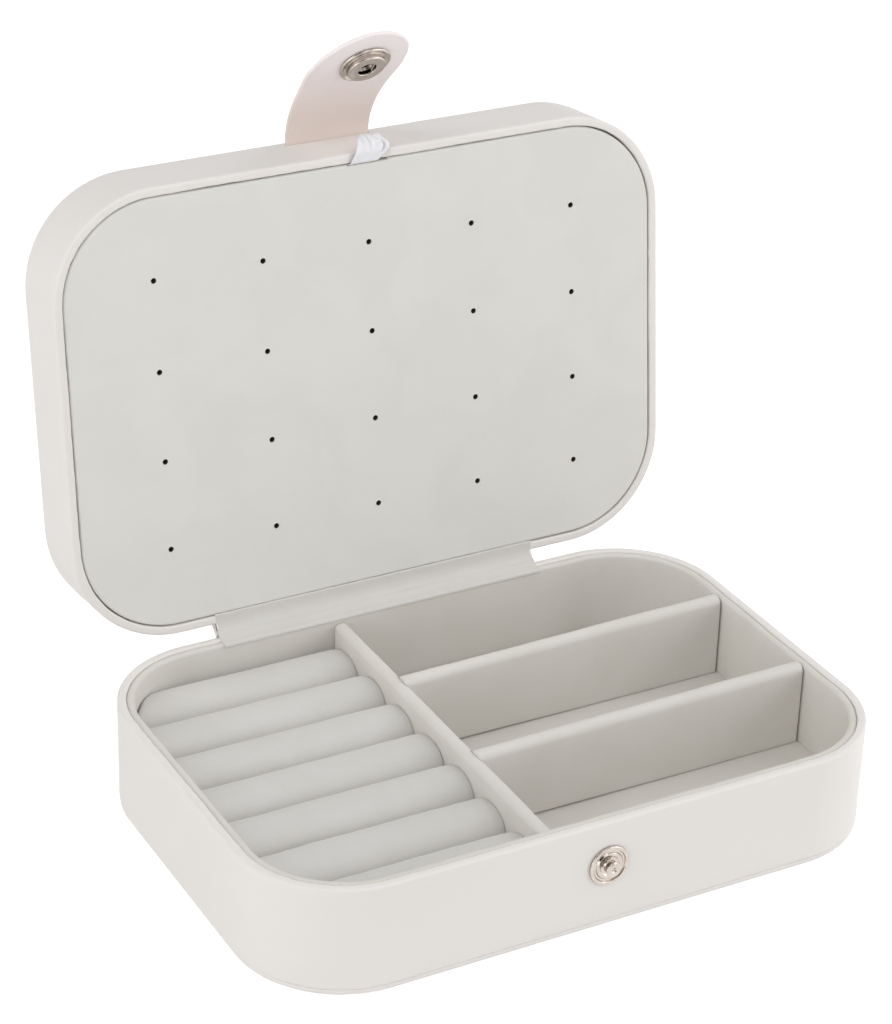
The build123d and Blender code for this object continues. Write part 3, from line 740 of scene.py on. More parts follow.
# The bar, moved along its normals by ripples above its foot. A cross divider is tilted in
# proportion to its length and height; the main one is cut back in its slots.
def divider(name, node, alongX, seed):
    look, (low, high) = dividerLook, nodeBox(node)
    across, along = (1, 0) if alongX else (0, 1)
    middle, half = (low[across] + high[across]) / 2, (high[across] - low[across]) / 2
    crossing = () if alongX else ("front_divider", "rear_divider")
    slots = [sum(nodeBox(other))[1] / 2 for other in crossing]
    foot, top = look["footRound"], look["crossTopRound" if alongX else "topRound"]
    section = roundedPath(
        [(-half, floorTop), (-half, high[2]), (half, high[2]), (half, floorTop)],
        [foot, top, top, foot],
        [1.8, 0.5, 1.8, 1.0],
        closed=True,
        arcSteps=7,
    )

    def place(loops, t):
        order = [t, middle + loops[..., 0]] if alongX else [middle + loops[..., 0], t]
        return np.stack(order + [loops[..., 1]], -1)

    end = high[along] + (look["reach"] if alongX else 0)
    marks = [y + d for y in slots for d in (-look["slotHalf"], look["slotHalf"])]
    grid = bar(section, low[along], end, place, marks)
    free = smooth(grid[..., 2], floorTop, floorTop + 4)
    amount = ripple(seed, grid, look["waves"]) * look["uneven"] * free
    grid = grid + gridNormals(grid) * amount[..., None]
    if alongX:
        run = (grid[..., 0] - low[0]) / (high[0] - low[0])
        up = (grid[..., 2] - floorTop) / (high[2] - floorTop)
        footUp = look["footLift"] * (1 - smooth(run, 0.1, 0.8)) * (1 - up)
        grid[..., 2] += np.interp(run, [0, 1], look["tilt"]) * up + footUp
    for y in slots:
        inSlot = np.abs(grid[..., 1] - y) < look["slotHalf"]
        cutBack = np.minimum(grid[..., 0], middle + half - look["slotDepth"])
        grid[..., 0] = np.where(inSlot, cutBack, grid[..., 0])
    made = gridMesh(name, grid, caps="fan")
    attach(finish(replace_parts(made, node), "velvet"), "base")


divider("main_divider_velvet", "main_divider", False, 41)
divider("front_divider_velvet", "front_divider", True, 42)
divider("rear_divider_velvet", "rear_divider", True, 43)

# Foam ring rolls in velvet: a half-round top on straight sides, pressed together along their
# lengths, rounded off at the divider and tucked in against the liner's corners.
rollLook = {
    "count": 7,
    "rightRun": 3.4,       # quarter ellipse at the divider: its run along, its depth
    "rightDepth": 1.35,
    "rightReach": 0.35,
    "leftRound": 1.6,
    "linerInset": 4.35,
    "fullness": 0.84,      # under 1, the section is fuller at its shoulders than a half circle
    "pressed": 0.12,
    "uneven": 0.13,
    "waves": [6, 11, 19, 33],
    "sunk": {1: 0.8, 2: 0.5, 7: 0.3},  # rolls whose foam is pressed a little lower
}


# The liner's inner face at each y: straight, then the corner's circle.
def rollLeft(y):
    r = box["cornerRadius"] - rollLook["linerInset"]
    over = np.clip(np.abs(y) - halfDepth, 0, r)
    return -halfLength - np.sqrt(np.maximum(r * r - over**2, 0.05))


# A quarter ellipse: depth * (1 - sqrt(1 - (1 - distance / run) ** 2)).
def drawnIn(distance, run, depth):
    return depth * (1 - np.sqrt(1 - np.clip(1 - distance / run, 0, 1) ** 2))


# A superellipse on straight sides: radius * cos ** fullness across, radius * sin ** fullness
# up; its radius shrinks at both ends by quarter ellipses.
def ringRoll(number):
    look, node = rollLook, f"ring_roll_{number}"
    low, high = nodeBox(node)
    middle, radius = (low[1] + high[1]) / 2, (high[1] - low[1]) / 2
    crest = high[2] - look["sunk"].get(number, 0)
    rise = crest - radius - floorTop
    # round the section: up one side, over the top and down the other
    turn = np.concatenate([np.full(4, 0.0), np.linspace(0, pi, 33), np.full(4, pi)])
    climb = np.linspace(0, rise, 5)[:4]
    lift = np.concatenate([climb, np.full(33, rise), climb[::-1]])
    # stations stand closer together towards both ends
    span = np.linspace(0, 1, 74)
    share = 0.55 * (1 - np.cos(span * pi)) / 2 + 0.45 * span
    share, turn = np.meshgrid(share, turn, indexing="ij")
    upright, across = np.sin(turn), np.cos(turn)
    y0 = middle + radius * across
    left, right = rollLeft(y0), high[0] + look["rightReach"]
    x = left + (right - left) * share
    inset = drawnIn(x - left, look["leftRound"], look["leftRound"])
    inset = inset + drawnIn(right - x, look["rightRun"], look["rightDepth"])
    around = np.stack([x, y0, np.full(x.shape, crest)], -1)
    slack = ripple(50 + number, around, look["waves"]) * look["uneven"] * upright**0.5
    r = radius - inset + slack - look["pressed"] * upright
    straight = np.where((turn == 0) | (turn == pi), np.minimum(inset, radius * 0.5), 0)
    rounded = np.abs(across) ** look["fullness"] * np.sign(across)
    y = middle + np.where(straight > 0, radius - straight, r) * rounded
    z = floorTop + lift + np.maximum(r, 0.3) * upright ** look["fullness"]
    made = gridMesh(f"ring_roll_{number}_velvet", np.stack([x, y, z], -1), caps="fan", sharp=60)
    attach(finish(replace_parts(made, node), "roll"), "base")


for number in range(1, rollLook["count"] + 1):
    ringRoll(number)
print("jewelry box: dividers and rolls made")

# The hinge: tape inside and leather outside, each one strip from base to lid.
hingeLook = {
    "liningThickness": 0.6,
    "liningBend": 4.6,
    "wrapDown": 0.85,      # how far the tape is turned down over the liner's edge
    "taper": 1.4,
    "ridge": 0.42,         # crease along the tape's bend
    "ridgeWidth": 0.55,
    "spineThickness": 0.8,
    "spineBend": 7.0,
    "tuck": 1.3,
    "tuckReach": 1.6,
    "wave": 0.05,
    "waves": [4, 7, 13],
}


# A point of the side view, given in the lid's own y and z.
def lidSide(y, z):
    return toLid([0, y, z])[1:]


# Where the straight line through start and end reaches a given y or z.
def meet(start, end, y=None, z=None):
    run = end - start
    share = (y - start[0]) / run[0] if z is None else (z - start[1]) / run[1]
    return start + run * share


# A line in the side view, with half the thickness laid off along its normals both ways,
# thinning out over the first taper millimetres, and carried along the box's length.
# bump(distance along, x) lifts its upper side.
def strip(name, line, thickness, bump, spacing, taper):
    far, halfWidth = runAlong(line), box["hingeHalfWidth"]
    x = box["hingeX"] + np.linspace(-1, 1, round(2 * halfWidth / spacing)) * halfWidth
    edge = np.minimum(np.minimum(far, far[-1] - far), thickness / 2) / (thickness / 2)
    half = thickness / 2 * np.sqrt(np.maximum(1 - (1 - edge) ** 2, 0.02))
    half = half * (0.35 + 0.65 * smooth(far, 0, taper))
    laidX, laidFar = np.meshgrid(x, far, indexing="ij")
    wave = ripple(61, np.stack([laidX, laidFar, 0 * laidX], -1), hingeLook["waves"])
    wave = wave * hingeLook["wave"]
    upper = line + leftOf(line) * (half + bump(laidFar, laidX) + wave)[..., None]
    lower = line + leftOf(line) * (wave - half)[..., None]
    loop = np.concatenate([upper, lower[:, ::-1]], 1)
    grid = np.concatenate([np.broadcast_to(x[:, None, None], loop.shape[:2] + (1,)), loop], -1)
    made = gridMesh(name, grid, caps="ladder", uv=(x, np.concatenate([far, far[::-1], [0]])))
    return made, far[-1]


liningLevel = baseTop - hingeLook["liningThickness"] / 2
lidLevel = lidRim + hingeLook["liningThickness"] / 2
linerInner = depth / 2 - linerFront
liningEnd = lidSide(depth / 2 - box["wall"] - 0.5, lidLevel)
liningCorner = meet(lidSide(depth / 2, lidLevel), liningEnd, z=liningLevel)
turnedDown = (linerInner - 0.12, liningLevel - hingeLook["wrapDown"])
liningLine = roundedPath(
    [turnedDown, (linerInner - 0.3, liningLevel), liningCorner, liningEnd],
    [0, 0.55, hingeLook["liningBend"], 0],
    [0.25, 0.3, 0.3],
    arcSteps=16,
)


# The middle of a line's bend: its point nearest to the corner, and how far along that is.
def bendOf(line, corner):
    nearest = np.argmin(np.linalg.norm(line - corner, axis=1))
    return line[nearest], runAlong(line)[nearest]


liningBend, liningBendAt = bendOf(liningLine, liningCorner)


# A bell-shaped ridge along the bend, exp(-(distance / width) ** 2), that wanders a little.
def liningBump(far, x):
    off = (far - liningBendAt - 0.12 * np.sin(x / 9)) / hingeLook["ridgeWidth"]
    return hingeLook["ridge"] * np.exp(-(off**2)) * (0.85 + 0.15 * np.sin(x / 5.3))


hingeLining, liningLength = strip(
    "hinge_lining_tape", liningLine, hingeLook["liningThickness"], liningBump, 1.1,
    hingeLook["taper"],
)
finish(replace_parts(hingeLining, "hinge_lining"), "tape")

spineLevel = depth / 2 - hingeLook["spineThickness"] / 2
spineEnd = lidSide(spineLevel, lidRim + box["spineReach"])
spineCorner = meet(lidSide(spineLevel, lidRim), spineEnd, y=spineLevel)
spineLine = roundedPath(
    [(spineLevel, baseTop - box["spineReach"]), tuple(spineCorner), tuple(spineEnd)],
    [0, hingeLook["spineBend"], 0],
    [1.2, 1.2],
    arcSteps=16,
)
spineBend, spineBendAt = bendOf(spineLine, spineCorner)
hollow = np.linalg.norm(spineBend - liningBend)
hollow -= (hingeLook["spineThickness"] + hingeLook["liningThickness"]) / 2


# Faint waves, and at both ends the leather is tucked in to meet the lining across the hollow.
def spineBump(far, x):
    fromEnd = box["hingeHalfWidth"] - np.abs(x - box["hingeX"])
    tucked = 1 - smooth(fromEnd, 0.3 * hingeLook["tuck"], hingeLook["tuck"])
    tucked = tucked * np.exp(-(((far - spineBendAt) / hingeLook["tuckReach"]) ** 4))
    return 0.04 * np.sin(x / 3.1 + far) * np.sin(far / 3) + hollow * tucked


hingeSpine, spineLength = strip(
    "hinge_spine_leather", spineLine, hingeLook["spineThickness"], spineBump, 0.4, 0.01
)
print("jewelry box: hollow of the hinge", round(float(hollow), 2), "mm")
finish(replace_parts(hingeSpine, "hinge_spine"), "spine")


# Both strips, from the base's rim to the lid's, have their placing baked into their points.
def blendHinge(piece):
    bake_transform(piece)


blendHinge(hingeLining)
blendHinge(hingeSpine)
print("jewelry box: hinge made")

# The strap: two skins of leather over a stiffener. Its line leaves the seam level, droops in
# one curve and ends in a flat that carries the snap; the tip is a half circle. Its root sits a
# little to the left of the snap and the curve is slightly twisted.
strapLook = {
    "x": -0.8,
    "width": 22.6,
    "thickness": 1.2,
    "tail": 12.0,          # length glued inside the lid
    "tailLeft": -12.1,     # the tail stays inside the lining's cut-out
    "tailRoom": 2.2,
    "edge": 0.6,
    "rootShift": -1.77,
    "snap": (-79.852, -1.95),
    "turn": 44.4,
    "rootTurn": -2.9,
    "rootPull": 11.6,
    "flatPull": 3.47,
    "flatBefore": 2.0,
    "flatAfter": 11.9,
    "twist": 0.48,
    "bow": 0.12,
    "pillow": 0.1,
    "blend": (0.2, 6.5),   # where the bend beside the lid starts and ends
    "flare": 1.2,          # the left edge beside the snap, wider and curled outwards
    "curl": 1.3,
    "flareAt": 4.0,        # its middle, before the snap
    "flareRun": 8.0,
    "hungTo": 2.1,         # the curve and its twist end so far before the snap
    "around": 72,
}
tail, tipRadius = strapLook["tail"], strapLook["width"] / 2
rootAt = np.array([-depth / 2, lidTop - strapLook["thickness"] / 2])
rootTurn, flatTurn = radians(strapLook["rootTurn"]), radians(strapLook["turn"])
rootRun, flatRun = (np.array([-cos(turn), -sin(turn)]) for turn in (rootTurn, flatTurn))
flatAt = np.array(strapLook["snap"]) - flatRun * strapLook["flatBefore"]
flatEnd = flatAt + flatRun * (strapLook["flatBefore"] + strapLook["flatAfter"])
# the cubic curve through root and flat: (1-t)^3 a + 3 (1-t)^2 t b + 3 (1-t) t^2 c + t^3 d
t = np.linspace(0, 1, 600)[:, None]
afterRoot = rootAt + rootRun * strapLook["rootPull"]
beforeFlat = flatAt - flatRun * strapLook["flatPull"]
droop = (1 - t) ** 3 * rootAt + 3 * (1 - t) ** 2 * t * afterRoot
droop = droop + 3 * (1 - t) * t**2 * beforeFlat + t**3 * flatAt
droopStep, droopRun = np.gradient(droop, axis=0), runAlong(droop)
droopTurn = np.arctan2(-droopStep[:, 1], -droopStep[:, 0])
snapRun = tail + droopRun[-1] + strapLook["flatBefore"]
strapRun = snapRun + strapLook["flatAfter"]
fineRun = np.concatenate([[0], tail + droopRun, [strapRun]])
finePath = np.concatenate([[rootAt + [tail, 0]], droop, [flatEnd]])
fineTurn = np.concatenate([[0], droopTurn, [flatTurn]])


# Point and turn of the strap's middle line at each distance from the tail's end.
def strapAt(s):
    point = np.stack([np.interp(s, fineRun, finePath[:, k]) for k in (0, 1)], -1)
    return point, np.interp(s, fineRun, fineTurn)


# Round each station: across = half width * cos, and off the middle line half the thickness,
# rounded at the edge by a quarter circle. Twist, bow, flare and curl are added to that.
def strapGrid():
    look = strapLook
    even = np.linspace(0, strapRun - tipRadius, 56)
    tipTurn = np.linspace(0, radians(89.3), 30)[1:]
    s = np.concatenate([even, strapRun - tipRadius + tipRadius * np.sin(tipTurn)])
    halfWidth = np.concatenate([np.full(len(even), tipRadius), tipRadius * np.cos(tipTurn)])
    point, turn = strapAt(s)
    s, halfWidth, turn = s[:, None], halfWidth[:, None], turn[:, None]
    around = fullTurn(look["around"])[None]
    x = np.cos(around) * halfWidth
    past = np.maximum(s - (strapRun - tipRadius), 0)
    fromEdge = np.where(past > 0, tipRadius - np.hypot(x, past), tipRadius - np.abs(x))
    fromEdge = np.minimum(fromEdge, s + 0.02)
    edge = 1 - np.clip(fromEdge, 0, look["edge"]) / look["edge"]
    full = np.sqrt(np.maximum(1 - edge**2, 0))
    face = np.sign(np.sin(around)) * (np.abs(np.sin(around)) > 1e-6)
    # the skins sink a little between the stitched-down edge and the middle
    sunk = (1 - smooth(fromEdge, 0.6, 2.2)) * smooth(fromEdge, 0.3, 0.9)
    out = face * full * (1 - look["pillow"] * sunk) * look["thickness"] / 2
    hung = np.clip((s - tail) / (snapRun - look["hungTo"] - tail), 0, 1)
    free = smooth(s, tail + 1, tail + 9) * (1 - smooth(s, strapRun - 20, strapRun - 14))
    bow = look["bow"] * (x / tipRadius) ** 2 * free
    beside = np.exp(-(((s - snapRun + look["flareAt"]) / look["flareRun"]) ** 2))
    curl = look["curl"] * beside * smooth(-x / tipRadius, 0.4, 1.0)
    off = out + bow + look["twist"] * np.sin(pi * hung) * x / tipRadius - curl
    y, z = point[:, :1] + off * np.sin(turn), point[:, 1:] - off * np.cos(turn)
    x = x + look["flare"] * beside * np.minimum(x, 0) / tipRadius
    x = look["x"] + look["rootShift"] * (1 - hung) + x
    x = np.where(s < tail - look["tailRoom"], np.maximum(x, look["tailLeft"]), x)
    return toLid(np.stack([x, y, z], -1)), s[:, 0]


strapPoints, strapS = strapGrid()
strapLaid = np.linspace(0, pi * tipRadius, strapLook["around"] + 1)
strap = gridMesh("snap_strap_leather", strapPoints, caps="fan", uv=(strapS, strapLaid), sharp=55)
finish(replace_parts(strap, "strap", "strap_tail"), "strap")
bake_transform(strap)

# Snap fastener: stamped rings, turned about their axis from (radius, height) profiles.
(snapSpot,), (snapTurn,) = strapAt(np.array([snapRun]))
snapCentre = toLid([strapLook["x"], *snapSpot])
snapOutward = toLid([0, -sin(snapTurn), cos(snapTurn)]) - lidOrigin
under, over = -strapLook["thickness"] / 2, strapLook["thickness"] / 2


# A profile revolved: centre + outward * height + radius * (cos, sin) of the two directions
# across.
def revolved(profile, centre, outward, steps):
    profile, outward = np.array(profile, float), unit(np.array(outward))
    side = np.array([1.0, 0, 0])
    turn = fullTurn(steps)[:, None]
    ring = np.cos(turn) * side + np.sin(turn) * np.cross(outward, side)
    return centre + profile[:, None, 1:] * outward + profile[:, None, :1] * ring


# A closed profile makes a ring, an open one ends on the axis.
def stamped(name, profile, centre, outward, closed=False):
    grid = revolved(profile, centre, outward, 96)
    return gridMesh(name, grid, closePath=closed, caps=None if closed else "fan", sharp=35)


# the stud: a flange with a groove and a step, a neck and a ball head with a dimple
studLook = {"flange": 5.15, "edge": 0.7, "neck": 1.42, "ball": 1.95, "top": 2.62}
studLow, studHigh = nodeBox("snap_stud")
studCentre = (studLow + studHigh) / 2
studCentre[1] = studHigh[1]
flange, edge, neck, ball, top = studLook.values()
studCorners = [
    (0.3, 0), (flange, 0), (flange, edge), (4.35, edge), (4.05, 0.22), (3.62, 0.22), (3.3, 0.68),
    (2.65, 0.68), (2.2, 0.25), (1.65, 0.35), (neck, 0.8), (neck, 1.85), (ball, 2.1), (ball, 2.38),
    (1.3, top), (0.72, top), (0.2, 2.05),
]
studRounds = [
    0, 0.1, 0.3, 0.16, 0.12, 0.12, 0.16, 0.16, 0.15, 0.15, 0.2, 0.15, 0.12, 0.12, 0.15, 0.12, 0,
]
studProfile = roundedPath(studCorners, studRounds, [2.0] * 16, arcSteps=7)
stud = stamped("snap_stud_nickel", studProfile, studCentre, [0, -1.0, 0])
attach(finish(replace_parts(stud, "snap_stud"), "nickelPaintedShade"), "base")

# the socket: a dished flange under the strap and a cup with the mouth in its face
socketLook = {
    "flange": 6.5, "lip": 1.05, "dish": 5.4, "collar": 4.85, "chamber": 4.4,
    "barrel": 2.75, "mouth": 2.3, "face": 2.56, "sheet": 0.45,
}
flange, lip, dish, collar, chamber, barrel, mouth, face, sheet = socketLook.values()
socketProfile = roundedPath(
    [
        (barrel, under), (flange, under), (flange, under - lip), (dish, under - sheet),
        (collar, under - sheet), (collar, -face), (mouth, -face), (mouth, sheet - face),
        (chamber, sheet - face), (chamber, under - sheet), (barrel, under - sheet),
    ],
    [0.1, 0.4, 0.38, 0.2, 0.15, 0.32, 0.22, 0.1, 0.15, 0.1, 0.1],
    [1.5] * 11,
    closed=True,
    arcSteps=7,
)
socket = stamped("snap_socket_nickel", socketProfile, snapCentre, snapOutward, closed=True)
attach(finish(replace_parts(socket, "snap_socket"), "nickelPaintedShade"), "strap")

# the cap: a dome, rise * (1 - (radius / cap) ** 2.4) ** 0.62, on a low rim. Its barrel is
# closed where it comes through the strap.
capLook = {"radius": 6.3, "rim": 0.25, "rise": 1.25}
capRadius = capLook["radius"]
domeRadius = np.linspace(capRadius - 0.02, 0.3, 26)
domeHeight = over + capLook["rim"]
domeHeight = domeHeight + capLook["rise"] * (1 - (domeRadius / capRadius) ** 2.4) ** 0.62
capFoot = [
    (0.3, under - 0.03), (2.2, under - 0.03), (barrel, under - 0.02), (barrel, over),
    (capRadius - 0.3, over), (capRadius - 0.1, over + 0.08), (capRadius - 0.02, over + 0.18),
]
capProfile = np.concatenate([capFoot, np.stack([domeRadius, domeHeight], -1)])
cap = stamped("snap_cap_nickel", capProfile, snapCentre, snapOutward)
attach(finish(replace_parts(cap, "snap_cap"), "nickel"), "strap")

# the spring: a round wire bent into a U across the chamber; a circle carried along the line
springLook = {"wire": 0.25, "half": 1.8, "reach": 3.6, "bend": 1.3, "level": -1.81}
springSize = [springLook["half"], springLook["reach"]]
springLine = roundedPath(
    np.array([(-1, -1), (-1, 1), (1, 1), (1, -1)]) * springSize,
    [0, springLook["bend"], springLook["bend"], 0],
    [0.6] * 3,
    arcSteps=9,
)
wireTurn = fullTurn(12)
wireAcross = springLook["wire"] * np.cos(wireTurn)[None, :, None]
springFlat = springLine[:, None] - leftOf(springLine)[:, None] * wireAcross
springUp = springLook["level"] + springLook["wire"] * np.sin(wireTurn)[:, None]
springAxes = np.array([[1.0, 0, 0], np.cross(snapOutward, [1.0, 0, 0])])
springGrid = snapCentre + springFlat @ springAxes + springUp * snapOutward
spring = gridMesh("snap_spring_wire", springGrid, caps="fan")
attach(finish(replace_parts(spring, "snap_spring"), "nickelPaintedShade"), "strap")
print("jewelry box: strap and snap made")

# The board's holes: a soft rim that the velvet makes round each, and below it the raw board's
# brown core, a thin sleeve down the hole; both are repeated on the grid.
holeLook = {
    "columns": 5, "rows": 4, "pitchX": 28.5, "pitchY": 22.9,
    "radius": 0.86, "thick": 0.16, "flat": 0.5,
    "face": 0.5,           # the board's face, above the parting plane
    "core": (0.745, 0.7),  # the sleeve's radii and depths
    "coreDepth": (0.15, 2.95),
    "steps": 24,
}
tubeTurn = fullTurn(8)
rimAcross = holeLook["radius"] + holeLook["thick"] * np.cos(tubeTurn)
rimUp = holeLook["face"] - holeLook["flat"] * holeLook["thick"] * np.sin(tubeTurn)
outer, inner = holeLook["core"]
coreTop, coreFoot = (holeLook["face"] + d for d in holeLook["coreDepth"])
coreSection = [(outer, coreTop), (outer, coreFoot), (inner, coreFoot), (inner, coreTop)]
upward, steps = [0, 0, 1.0], holeLook["steps"]
for column in range(holeLook["columns"]):
    for row in range(holeLook["rows"]):
        x = (column - (holeLook["columns"] - 1) / 2) * holeLook["pitchX"]
        y = (row - (holeLook["rows"] - 1) / 2) * holeLook["pitchY"]
        for name, section, material in (
            ("core", coreSection, "core"),
            ("rim", np.stack([rimAcross, rimUp], -1), "board"),
        ):
            grid = toLid(revolved(section, [x, y, 0], upward, steps)).swapaxes(0, 1)
            made = gridMesh(f"hole_{name}_{column}_{row}", grid, closePath=True)
            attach(finish(made, material), "lid")

# The ribbon: a loop of satin that comes up between board and wall, crosses the rim and
# stands over the edge, creased where the strap presses it.
ribbonLook = {
    "x": 0.6,
    "width": 9.2,
    "cutWidth": 10.4,
    "thickness": 0.2,
    "crease": 0.24,
    "slit": (0.86, 0.035, 0.8),  # one deep crease: its place and width across, its depth
    "line": [              # its side view in the lid's y and z, from its hidden end to the loop's
        (-46.0, 3.75), (-50.0, 3.72), (-53.7, 3.7), (-54.35, 3.2), (-54.35, 1.2), (-54.55, 0.36),
        (-55.6, 0.18), (-57.0, 0.1), (-58.4, 0.6), (-59.6, 1.9), (-60.15, 3.1), (-59.9, 3.8),
        (-59.0, 3.7), (-58.0, 2.8), (-57.35, 1.7), (-57.2, 0.95), (-56.4, 0.62),
    ],
    "out": 5,              # the point at which it comes out of the gap
    "edgesAt": [0, 5, 7, 10, 13, 16],
    "left": [-4.4, -4.3, -2.9, -0.9, -1.0, -2.4],
    "right": [5.2, 3.1, 6.0, 5.0, 5.2, 4.8],
    "pressedTo": (-57.0, 2.1),
    "across": 90,
}


# A smooth line through points: each stretch is a cubic whose ends point along the
# neighbours' chord.
def throughPoints(knotsAt, values, at):
    values = np.array(values, float)
    slope = np.gradient(values, knotsAt, axis=0)
    k = np.clip(np.searchsorted(knotsAt, at, side="right") - 1, 0, len(knotsAt) - 2)
    gap = (knotsAt[k + 1] - knotsAt[k])[:, None]
    t = ((at - knotsAt[k])[:, None]) / gap
    return (
        (2 * t**3 - 3 * t**2 + 1) * values[k]
        + (t**3 - 2 * t**2 + t) * gap * slope[k]
        + (3 * t**2 - 2 * t**3) * values[k + 1]
        + (t**3 - t**2) * gap * slope[k + 1]
    )


# The side view carried across between its two edges, moved along its normals by creases:
# sine waves of the place across, u, that drift with the place along, v.
def ribbonGrid(run, knotRun):
    look = ribbonLook
    line = throughPoints(knotRun, look["line"], run)
    at, edges = knotRun[look["edgesAt"]], np.array([look["left"], look["right"]])
    left, right = (throughPoints(at, edge[:, None], run) for edge in edges)
    u, v = np.linspace(0, 1, look["across"]), run - knotRun[look["out"]]
    v, u = np.meshgrid(v, u, indexing="ij")
    fold = np.sin(u * 23 + 0.35 * v) * (1 - smooth(u, 0.25, 0.75))
    fold = fold + 0.55 * np.sin(u * 11 - 0.5 * v + 1.2) + 0.4 * np.sin(u * 37 + 0.8 * v)
    fold = fold + 0.3 * ripple(71, np.stack([u * 9, v, 0 * v], -1), [1.1, 1.7, 2.9])
    slitAt, slitWidth, slitDepth = look["slit"]
    slit = -slitDepth * np.exp(-(((u - slitAt) / slitWidth) ** 2))
    slit = slit * smooth(v, 1.5, 2.5) * (1 - smooth(v, 4.2, 5.2))
    out = smooth(v, 0, 7)
    creased = look["crease"] * fold * out + slit + 0.05 * np.sin(u * 29) * smooth(v, -2, 1)
    x = left + (right - left) * u + 0.15 * np.sin(v * 1.3 + u * 4) * out
    y, z = (line[:, None, k] + leftOf(line)[:, None, k] * creased for k in (0, 1))
    return np.stack([x, y, z], -1)


knotRun = runAlong(np.array(ribbonLook["line"]))
ribbonRun = np.linspace(0, knotRun[-1], 130)
ribbonMiddle = ribbonGrid(ribbonRun, knotRun)
# both faces lie half the thickness off the middle surface
ribbonOut = gridNormals(ribbonMiddle, closeSection=False) * ribbonLook["thickness"] / 2
ribbonFaces = np.concatenate([ribbonMiddle + ribbonOut, (ribbonMiddle - ribbonOut)[:, ::-1]], 1)
laid = np.linspace(0, ribbonLook["width"], ribbonLook["across"])
laid = (ribbonRun, np.concatenate([laid, laid[::-1], [0]]))
ribbon = gridMesh("board_ribbon_satin", toLid(ribbonFaces), caps="ladder", uv=laid, sharp=60)
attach(finish(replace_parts(ribbon, "panel_ribbon"), "ribbon"), "lid")
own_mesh(ribbon)

# CAD nodes that keep their shape
kept = {
    "wrap": ["base_bottom_panel", "lid_top_panel"],
    "velvet": ["base_floor", "lid_lining", "lid_ledge"],
    "board": ["earring_panel"],
    "nickel": ["stud_rivet"],
}
for material, nodes in kept.items():
    for node in nodes:
        for materialSlot in frame["nodes"][node].material_slots:
            materialSlot.material = finishes[material]
print("jewelry box: board and ribbon made")

# Studio: a white sweep, an even room, a broad low lamp on each side, one at the front right
# and three from above, all of one size and colour.
studio = {
    "room": 0.35,
    "floor": 3000,         # half the floor's side in millimetres
    "paper": {"colour": "#F4F4F4", "shade": "#F1F1F1", "glow": 0.6},
    "lampSize": 0.9,
    "lampColour": "#FFFFFF",
    "lamps": {             # place in metres and power in watts
        "left": ((-1.3, -0.35, 0.35), 4.85),
        "right": ((1.3, -0.35, 0.45), 3.2),
        "front_right": ((0.95, -1.0, 0.5), 4.4),
        "top_front": ((-0.3, -0.9, 1.1), 3.25),
        "top_left": ((-0.9, 0.1, 1.1), 4.2),
        "top_right": ((0.9, 0.1, 1.1), 3.5),
    },
    "card": (-0.8, -0.72, 0.9),
    "cardHalf": 700,       # half the card's side in millimetres
}
heart = Vector((cadLow + cadHigh) / 2)


# A flat square of so many points a side, in the plane z = 0.
def flatSquare(name, half, count):
    line = np.linspace(-half, half, count)
    grid = np.stack([*np.meshgrid(line, line, indexing="ij"), np.zeros((count, count))], -1)
    return gridMesh(name, grid, closeSection=False)


# The turn that points an axis from a place to the middle of the box.
def facing(place, axis):
    return (heart - Vector(place)).to_track_quat(axis, "Y")


floor = flatSquare("studio_floor", studio["floor"], 3)
floor.data.materials.append(whitePaper("matt_white_paper", studio["paper"]))

# A dark card beside the camera that only reflections see, so that polished metal has edges.
card = flatSquare("studio_dark_card", studio["cardHalf"], 2)
cardTurn = facing(studio["card"], "Z").to_matrix().to_4x4()
card.data.transform(Matrix.Translation(studio["card"]) @ cardTurn)
felt = newMaterial("black_felt", place=None)[0]
card.data.materials.append(output(felt, addNode(felt, "BsdfDiffuse", {"Color": srgb("#24211F")})))
card.visible_camera = card.visible_diffuse = False
card.visible_transmission = card.visible_shadow = False

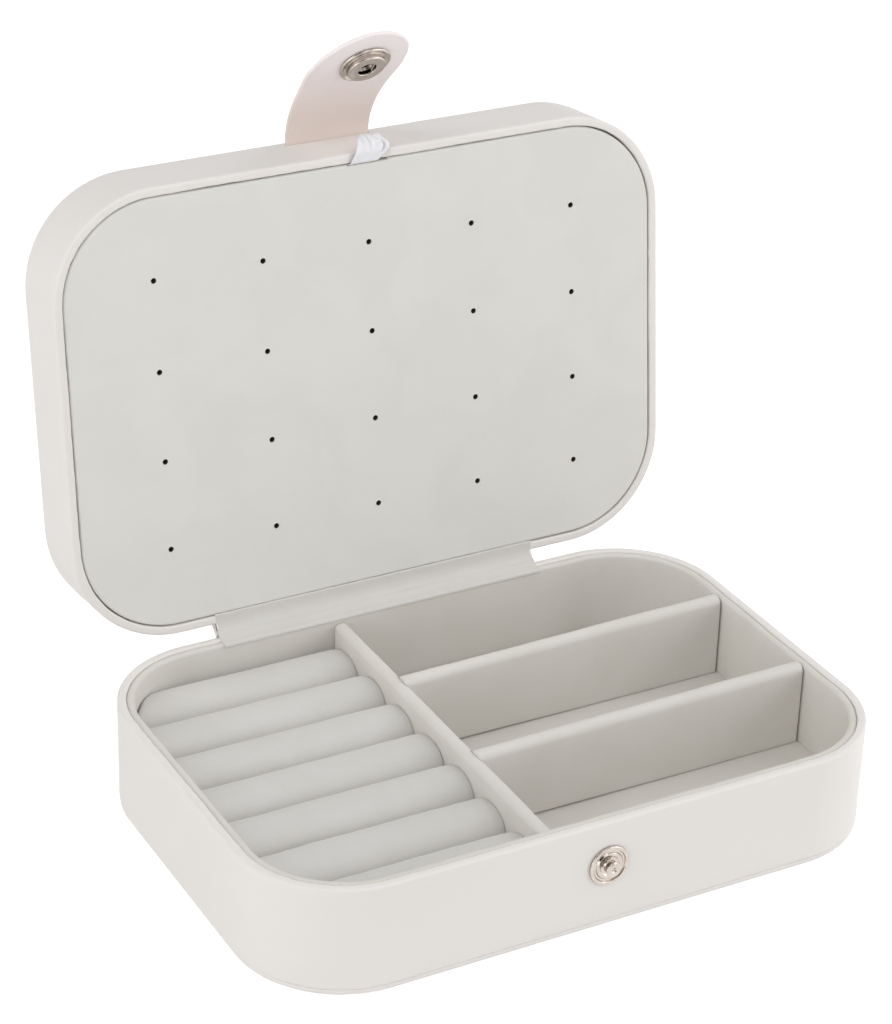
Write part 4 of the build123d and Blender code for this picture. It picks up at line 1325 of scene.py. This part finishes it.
# The room lights the box evenly, and shows as white to the camera, in metal and through glass.
world = bpy.data.worlds.new("studio_room")
bpy.context.scene.world = world
world.use_nodes = True
world.node_tree.nodes.clear()
white = srgb("#FFFFFF")
roomLight = addNode(world, "Background", {"Color": white, "Strength": studio["room"]})
roomSeen = addNode(world, "Background", {"Color": white, "Strength": 1.0})
rays = addNode(world, "LightPath").outputs
shown = rays["Is Camera Ray"]
for ray in ("Is Transmission Ray", "Is Glossy Ray"):
    shown = addNode(world, "Math", {"operation": "MAXIMUM", 0: shown, 1: rays[ray]}).outputs[0]
roomMix = addNode(world, "MixShader", {0: shown, 1: roomLight, 2: roomSeen})
addNode(world, "OutputWorld", {"Surface": roomMix})

for name, (place, power) in studio["lamps"].items():
    lamp = bpy.data.lights.new(name + "_softbox", "AREA")
    lamp.shape, lamp.size, lamp.energy = "SQUARE", studio["lampSize"], power
    lamp.color = srgb(studio["lampColour"])[:3]
    holder = bpy.data.objects.new(name + "_softbox", lamp)
    bpy.context.scene.collection.objects.link(holder)
    holder.location = place
    holder.rotation_euler = facing(place, "-Z").to_euler()

# The camera: azimuth from the front towards -X, height above the horizon, a slight roll
cameraLook = {
    "azimuth": -29.2062,
    "elevation": 27.9415,
    "roll": 1.8404,
    "distance": 0.73438,
    "lens": 107.488,
    "aim": (-0.00143, 0.02317, 0.06954),
}
az, el, roll = (radians(cameraLook[key]) for key in ("azimuth", "elevation", "roll"))
back = Vector((sin(az) * cos(el), -cos(az) * cos(el), sin(el)))
right = Vector((cos(az), sin(az), 0))
up = back.cross(right)
right, up = right * cos(roll) + up * sin(roll), up * cos(roll) - right * sin(roll)
camera = bpy.data.objects.new("camera", bpy.data.cameras.new("camera"))
bpy.context.scene.collection.objects.link(camera)
camera.data.lens = cameraLook["lens"]
camera.data.clip_start, camera.data.clip_end = 0.05, 20
cameraAt = Matrix.Translation(Vector(cameraLook["aim"]) + back * cameraLook["distance"])
camera.matrix_world = cameraAt @ Matrix((right, up, back)).transposed().to_4x4()
bpy.context.scene.camera = camera
bpy.context.scene.view_settings.view_transform = "Standard"
print("jewelry box: studio and camera set")

bpy.context.view_layer.update()
